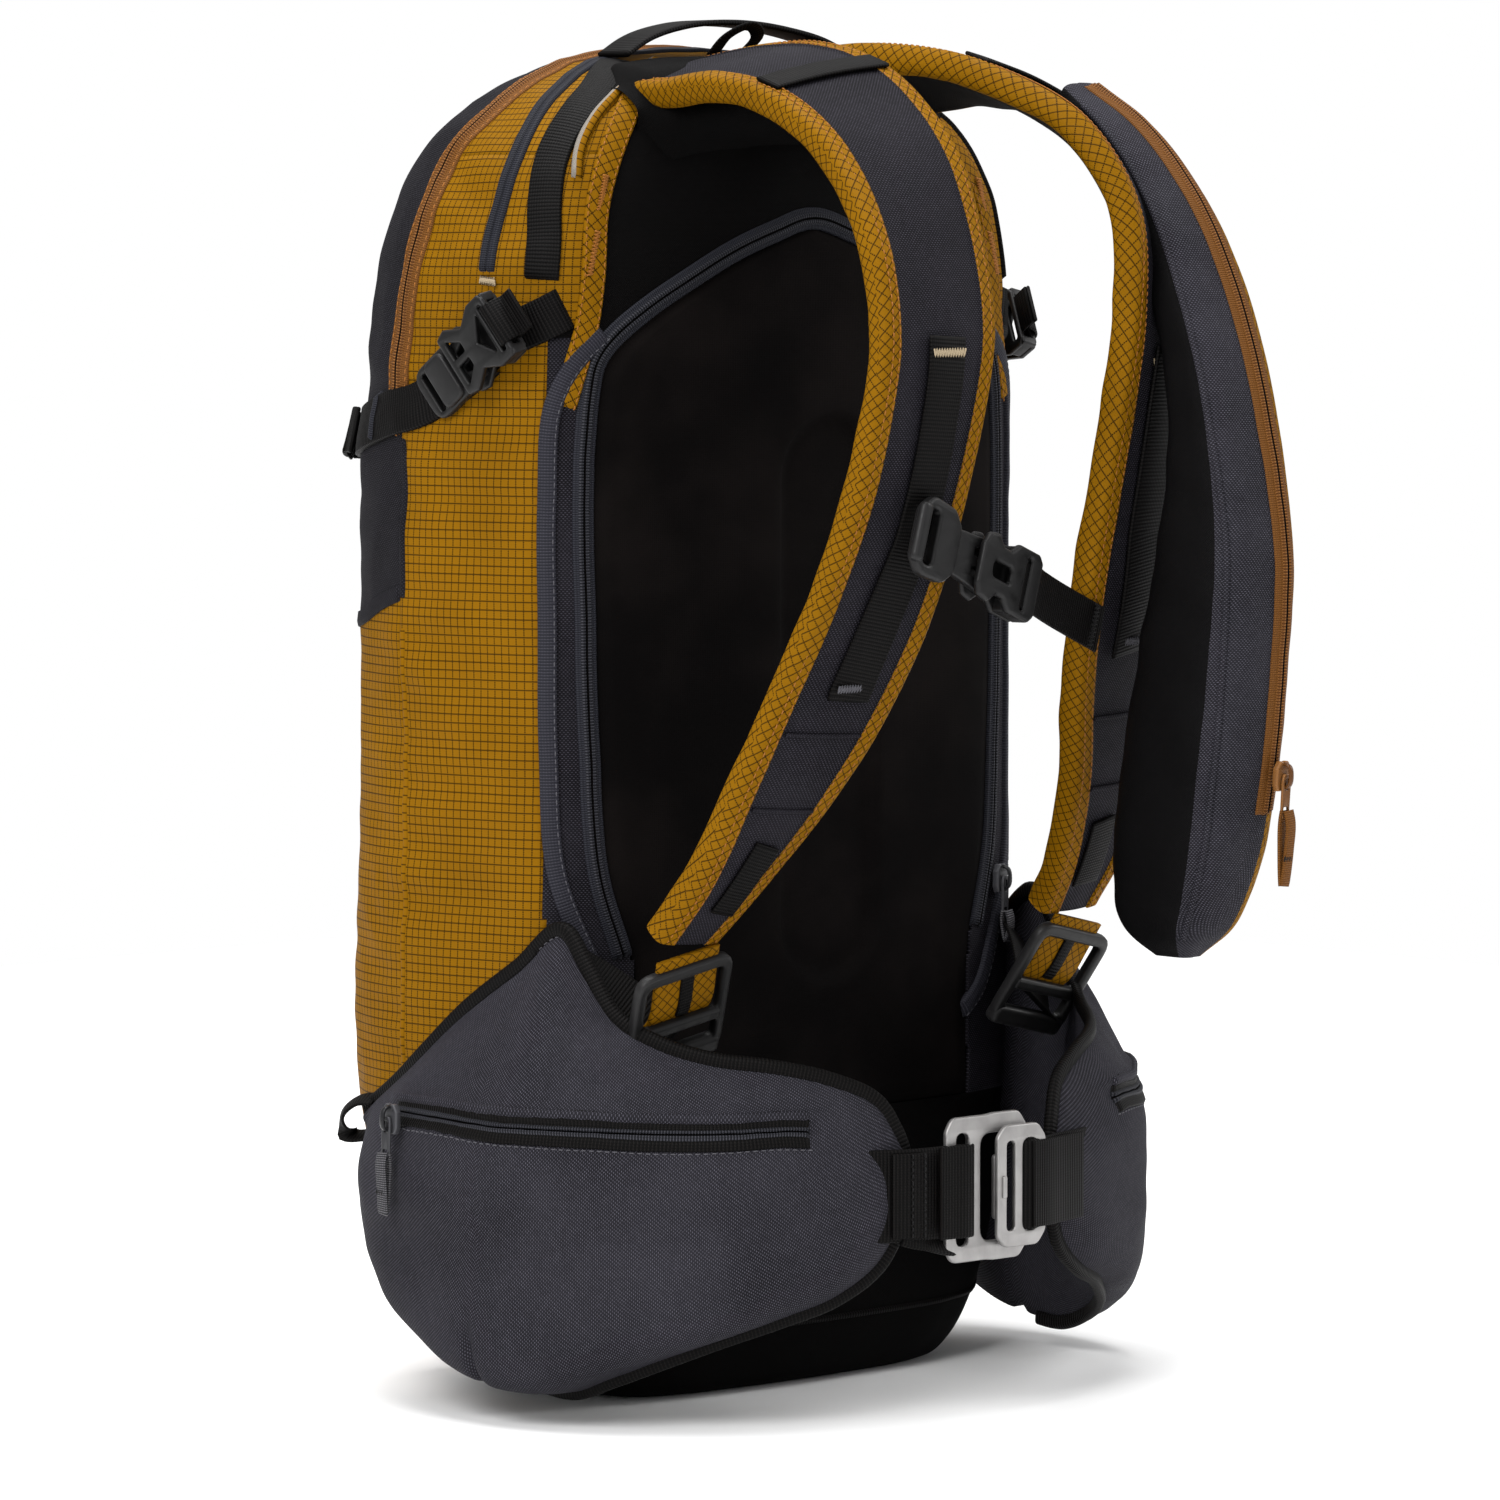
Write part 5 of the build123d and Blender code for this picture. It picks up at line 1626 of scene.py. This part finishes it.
def sternum_strap():
    along = unit(STERNUM_END - STERNUM_START)
    out = unit(np.cross(along, arr([0, 0, 1.0])))
    out = out if out[1] < 0 else -out
    place = basis(STERNUM_START, along, out)
    ring = [(-15, -10), (-9, -16), (6, -15), (12, -9), (12, 9), (6, 15), (-9, 16), (-15, 10)]
    holes = [box_outline(-9.5, -3.5, -11, 11, 2.4)]
    slider = slab("sternum_slider", [rounded(ring, 6)] + holes, -1.5, 3.4, 1.4, place, plastic)
    dress(slider, "harness", "buckle_plastic", "sternum_slider_male")
    lip = slab("sternum_slider_lip", [box_outline(-16.5, -10.5, -12, 12, 2.8)], 0.5, 4.8, 1.7, place, plastic)
    dress(lip, "harness", "buckle_plastic")
    stem = [(10, -9), (24, -10), (40, -11.5), (41.5, -8.5), (36, -6.2), (24, -5.6), (24, -2.2), (37, -1.8),
            (37, 1.8),
            (24, 2.2), (24, 5.6), (36, 6.2), (41.5, 8.5), (40, 11.5), (24, 10), (10, 9)]
    prongs = slab("sternum_prongs", [rounded(stem, 0.9, 4)], -1.7, 1.9, 0.7, place, plastic)
    dress(prongs, "harness", "buckle_plastic")
    shell = [(25, -8), (27.5, -13), (33, -14), (38, -9.8), (43, -9.8), (48, -14), (62, -14), (65, -11),
             (65, 11),
             (62, 14), (48, 14), (43, 9.8), (38, 9.8), (33, 14), (27.5, 13), (25, 8)]
    slots = [box_outline(54.5, 57.5, -10.4, 10.4, 1.2), box_outline(33, 46, -3.2, 3.2, 2.5)]
    top = slab("sternum_female_top", [rounded(shell, 2.4)] + slots, 2.4, 6.0, 1.5, place, plastic)
    dress(top, "sternum_female", "buckle_plastic", "sternum_female")
    under = slab("sternum_female_under", [rounded(shell, 2.4), box_outline(54.5, 57.5, -10.4, 10.4, 1.2)],
                 -5.0, -2.2,
                 1.3, place, plastic)
    dress(under, "sternum_female", "buckle_plastic")
    for y in (-10.8, 10.8):
        wall = slab(f"sternum_wall_{'a' if y < 0 else 'b'}", [box_outline(48, 64, y - 2.8, y + 2.8, 1.4)],
                    -3.4, 4.0, 1.0,
                    place, plastic)
        dress(wall, "sternum_female", "buckle_plastic")
    bar = slab("sternum_bar", [box_outline(58.5, 64.5, -12, 12, 2.2)], -2.4, 3.2, 1.6, place, plastic)
    dress(bar, "sternum_female", "buckle_plastic")
    length = float(np.linalg.norm(STERNUM_END - STERNUM_START))
    run = [(66, 0, -2.4), (60, 0, -3.4), (56.2, 0, -1), (57.2, 0, 2.8), (62, 0, 4.2), (68, 0, 3.0),
           (80, 0, 1.4),
           (95, 0, 0.4), (length + 2, 0, -0.5)]
    path = smooth(local_line(place, run), 80)
    web = ribbon("sternum_web", path, np.repeat(out[None], 80, axis=0), 19, 1.5, black_web)
    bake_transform(web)
    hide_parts("sternum_webbing", "sternum_anchor")
    end = local_line(place, [(length - 4, -9.5, 1.5), (length - 4, 9.5, 1.5)])
    tack = zigzag("sternum_tack", end.mean(axis=0), np.cross(out, along), along, out, 17, 3, 10, thread_black)
    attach(tack, "harness")


sternum_strap()


# ---------------------------------------------------------------- compression strap
def side_place(x, y, z, lift=0.0):
    """A point on the bag's skin, lifted off it along the normal, and the skin's normal there."""
    spot, way = snap(bag_tree, arr([[x, y, z]]), arr([[math.copysign(1, x), -0.1, 0.0]]))
    return spot[0] + way[0] * lift, way[0]


def compression():
    half_ring = [(-136.5, -52, 422), (-139.5, -36, 411), (-142, -18, 402.5), (-143, 12, 396),
                 (-137, 34, 391.5),
                 (-124, 52, 389), (-108, 66, 388), (-60, 80, 387), (0, 85, 387)]
    path = smooth_path(both_sides(half_ring))
    ring = laid("compression_web", bag_tree, path, flat_profile(19.5, 2.2, 7), [black_web], ends=False)
    on_root(ring, "webbing", "compression_strap")
    for side, name in ((-1, "right"), (1, "left")):
        anchor = smooth_path([(-140, -44, 417), (-135.5, -60, 428), (-129, -78, 436), (-122, -83, 440)])
        anchor[:, 0] *= -side
        tab = laid(f"{name}_buckle_anchor", bag_tree, anchor, flat_profile(17, 1.9, 5), [black_web])
        on_root(tab, "webbing")
        loop = [(-128, 47, 390), (-124, 57, 390), (-120, 66, 389), (-111, 72, 388.5), (-104, 71, 388)]
        line = smooth(loop, 50)
        line[:, 0] *= -side
        on_bag, out = snap(bag_tree, line, bag_out(line))
        rise = 4.0 * np.sin(np.linspace(0, math.pi, 50)) + 2.8
        keeper = ribbon(f"{name}_strap_loop", on_bag + out * rise[:, None], out, 19, 1.7, black_web)
        on_root(keeper, "webbing")
        band = arr([(-143.5 * -side, 18, 384.5), (-143.5 * -side, 17.5, 395), (-143.5 * -side, 17, 406)])
        stripe = laid(f"{name}_strap_keeper", bag_tree, smooth(band, 14),
                      [(-1.4, -0.5), (-1.3, 3.2), (0, 3.5), (1.3, 3.2), (1.4, -0.5)], [zip_tape_grey])
        on_root(stripe, "webbing")
        male_at, way = side_place(-140 * -side, -33, 410.5, 4.4)
        back_way = arr([0.12 * -side, -0.80, 0.56])
        turn, origin = basis(male_at, back_way, way)
        place = (turn, origin)
        male = rounded([(-13, -11.5), (9, -11.5), (13, -9), (22, -10.5), (23, -7), (15, -4.2), (15, -1.8),
                        (24, -1.4),
                        (24, 1.4), (15, 1.8), (15, 4.2), (23, 7), (22, 10.5), (13, 9), (9, 11.5),
                        (-13, 11.5)],
                       [7, 2, 1.5, 1.5, 1, 1, 0.6, 0.6, 0.6, 0.6, 1, 1, 1.5, 1.5, 2, 7])
        body = slab(f"{name}_buckle_male", [male, box_outline(-8.5, -5.5, -8.5, 8.5, 1.3)], -2.2, 2.4, 1.2,
                    place,
                    plastic)
        on_root(body, "buckle_plastic", f"{name}_compression_buckle")
        hump = slab(f"{name}_buckle_hump", [box_outline(-4, 9, -10.5, 10.5, 4)], 1.0, 4.2, 1.4, place,
                    plastic)
        on_root(hump, "buckle_plastic")
        female = rounded([(12, -13), (18, -14.5), (27, -9.5), (36, -14.5), (44, -14.5), (46, -12), (46, 12),
                          (44, 14.5),
                          (36, 14.5), (27, 9.5), (18, 14.5), (12, 13)], 1.8)
        holes = [rounded([(15.5, -10), (23, -5.2), (23, -1.6), (15.5, -1.6)], 0.8),
                 rounded([(15.5, 10), (23, 5.2), (23, 1.6), (15.5, 1.6)], 0.8),
                 rounded([(31, 0), (38.5, -9.5), (38.5, 9.5)], 1.0),
                 box_outline(40.8, 43.2, -10.5, 10.5, 1.0)]
        top = slab(f"{name}_buckle_female", [female] + holes, 2.2, 5.4, 1.2, place, plastic)
        on_root(top, "buckle_plastic")
        lower = slab(f"{name}_buckle_under", [female, box_outline(40.8, 43.2, -10.5, 10.5, 1.0)], -3.6, -1.2,
                     1.0, place,
                     plastic)
        on_root(lower, "buckle_plastic")
        for v in (-12.2, 12.2):
            post = slab(f"{name}_buckle_post_{'a' if v < 0 else 'b'}",
                        [box_outline(36, 46, v - 2, v + 2, 0.9)], -2.8, 4.6,
                        0.8, place, plastic)
            on_root(post, "buckle_plastic")
        wrap = local_line(place, [(54, 0, -3.4), (48, 0, -3.0), (43.5, 0, -1.8), (42.2, 0, 1.2), (44, 0, 5.4),
                                  (47.6, 0, 2.6), (49, 0, -1.8), (55, 0, -2.6)])
        line = smooth(wrap, 50)
        strip = ribbon(f"{name}_buckle_wrap", line, np.repeat(way[None], 50, axis=0), 18, 1.4, black_web)
        on_root(strip, "webbing")


compression()


# ---------------------------------------------------------------- zip sliders and pulls
def slider_set(name, origin, zip_way, normal, slider_body, puller_body, metal, pull, hang=None):
    """A slider with its bridge, a metal tab on the bridge and a soft pull on the tab."""
    place = basis(origin, np.cross(arr(normal), arr(zip_way)), normal)
    turn, base = place
    turn = np.column_stack([unit(np.cross(arr(zip_way), arr(normal))), unit(arr(zip_way)), unit(arr(normal))])
    place = (turn, base)
    outline = [(-3.4, -6), (3.4, -6), (4.6, -3.5), (4.6, 3), (2.6, 6), (0.7, 6), (0, 4.6), (-0.7, 6),
               (-2.6, 6),
               (-4.6, 3), (-4.6, -3.5)]
    body = slab(f"{name}_slider_body", [rounded(outline, 1.0, 4)], 0.4, 3.2, 0.8, place, metal)
    dress(body, slider_body, "slider_metal", f"{name}_slider")
    arch = smooth([(0, 4.4, 2.6), (0, 3.6, 5.0), (0, 0.5, 5.9), (0, -3.2, 5.2), (0, -4.2, 2.6)], 24)
    bridge = ribbon(f"{name}_slider_bridge", local_line(place, arch),
                    np.repeat(turn[:, 2][None], 24, axis=0), 2.4, 1.3,
                    metal)
    dress(bridge, slider_body, "slider_metal")
    tab_place = (turn, base + turn[:, 2] * 4.2)
    tab = [(-1.9, 1.0), (1.9, 1.0), (2.7, -2), (2.5, -15), (1.6, -17), (-1.6, -17), (-2.5, -15), (-2.7, -2)]
    holes = [box_outline(-1.3, 1.3, -5.4, -0.8, 0.9), box_outline(-1.4, 1.4, -15.4, -12.2, 0.9)]
    tab_piece = slab(f"{name}_pull_tab", [rounded(tab, 1.0, 4)] + holes, -0.5, 0.6, 0.35, tab_place, metal)
    dress(tab_piece, puller_body, "slider_metal", f"{name}_puller")
    if pull is None:
        return
    kind, length = pull
    low = -14 - length
    if kind == "loop":
        half = 2.9
        path = smooth([(0.0, -13.6, 1.3), (0.3, -17, 2.2), (0.8, -14 - length * 0.5, 2.0), (0.6, low, 0.6),
                       (0.2, -14 - length * 0.5, -0.8), (0.0, -17, -1.0), (0.0, -13.6, -0.6)], 60)
        line = local_line(tab_place, path)
        strip = ribbon(f"{name}_pull_loop", line, np.repeat(turn[:, 2][None], 60, axis=0), half * 2, 1.3,
                       hang)
        dress(strip, puller_body, "pull_cord")
        spot = local_line(tab_place, [(0, -14 - length * 0.62, 2.6)])[0]
        tack = zigzag(f"{name}_pull_tack", spot, turn[:, 0], turn[:, 1], turn[:, 2], 4.6, 2.2, 4,
                      thread_black, 0.3)
        dress(tack, puller_body, "pull_cord")
    else:
        path = smooth([(-1.6, low, -0.4), (-1.9, -14 - length * 0.6, 0.3), (-1.5, -19, 1.0), (0, -13.8, 0.4),
                       (1.5, -19, -0.8), (1.8, -14 - length * 0.6, -0.2), (1.2, low - 2, 0.2)], 120)
        line = local_line(tab_place, path)
        rope = tube(f"{name}_pull_cord", line, 1.25, hang, 10)
        dress(rope, puller_body, "pull_cord")
        wrap = slab(f"{name}_cord_sleeve", [box_outline(-3.2, 3.2, -26, -18, 1.4)], -1.9, 1.9, 1.2,
                    tab_place, black_web)
        dress(wrap, puller_body, "pull_cord")


def sliders():
    for side, name in ((-1, "right"), (1, "left")):
        spot = arr([side * 173.0, -34, 117.5])
        pull = ("loop", 24) if side < 0 else ("cord", 30)
        slider_set(f"{name}_pocket", spot - arr([side * 1.5, 0, 0]), (0, 0.03 * -1, 1.0), (side, 0.02, 0.0),
                   f"{name}_pocket_slider", f"{name}_pocket_puller", slider_metal, pull,
                   pull_cord_grey if side < 0 else black_web)
    slider_set("sleeve", (89, -270.0, 254), (0, -0.07, 1.0), (0.1, -1.0, -0.05), "sleeve_slider",
               "sleeve_puller",
               slider_brown, ("loop", 30), zip_tape_brown)
    spot, way = snap(bag_tree, arr([[113, -85, 200]]), arr([[0.3, -1.0, 0]]))
    slider_set("back_zip", spot[0] + way[0] * 1.6, (0.02, 0, 1.0), way[0], "back_zip_slider",
               "back_zip_puller",
               slider_metal, ("loop", 12), pull_cord_grey)
    spot, way = snap(bag_tree, arr([[142, -5, 440]]), arr([[1.0, 0, 0]]))
    slider_set("tool_zip", spot[0] + way[0] * 1.6, (-0.05, -0.12, 1.0), way[0], "tool_zip_slider",
               "tool_zip_puller",
               slider_brown, ("loop", 12), zip_tape_brown)


sliders()


# ---------------------------------------------------------------- inside the bag
def hung_cloth(name, node, half_low, half_high, y, z_low, z_high, seed):
    """A lining cloth inside the bag, which may be wider at one end than at the other."""
    across = np.linspace(-1, 1, 60)
    z = np.linspace(z_low, z_high, 90)
    half = np.linspace(half_low, half_high, 90)
    x = across[None] * half[:, None]
    points = np.stack([x, np.full_like(x, y), np.repeat(z[:, None], 60, axis=1)], axis=2)
    points[..., 1] += 1.4 * noise_at(points, 50, seed)
    cloth = grid_object(name, points, [black_lining])
    thick = cloth.modifiers.new("cloth", "SOLIDIFY")
    thick.thickness = 0.8 * MM
    on_root(cloth, "lining", node)


hung_cloth("divider_cloth", "compartment_divider", 104, 92, 51, 42, 468, 3.0)
hung_cloth("reservoir_pocket", "hydration_sleeve", 80, 80, 45.5, 62, 305, 6.0)
for node in ("frame_sheet", "frame_stay", "reservoir_hanger"):
    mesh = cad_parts[node].data
    mesh.materials.clear()
    mesh.materials.append({"frame_sheet": plastic, "frame_stay": alloy, "reservoir_hanger": black_web}[node])
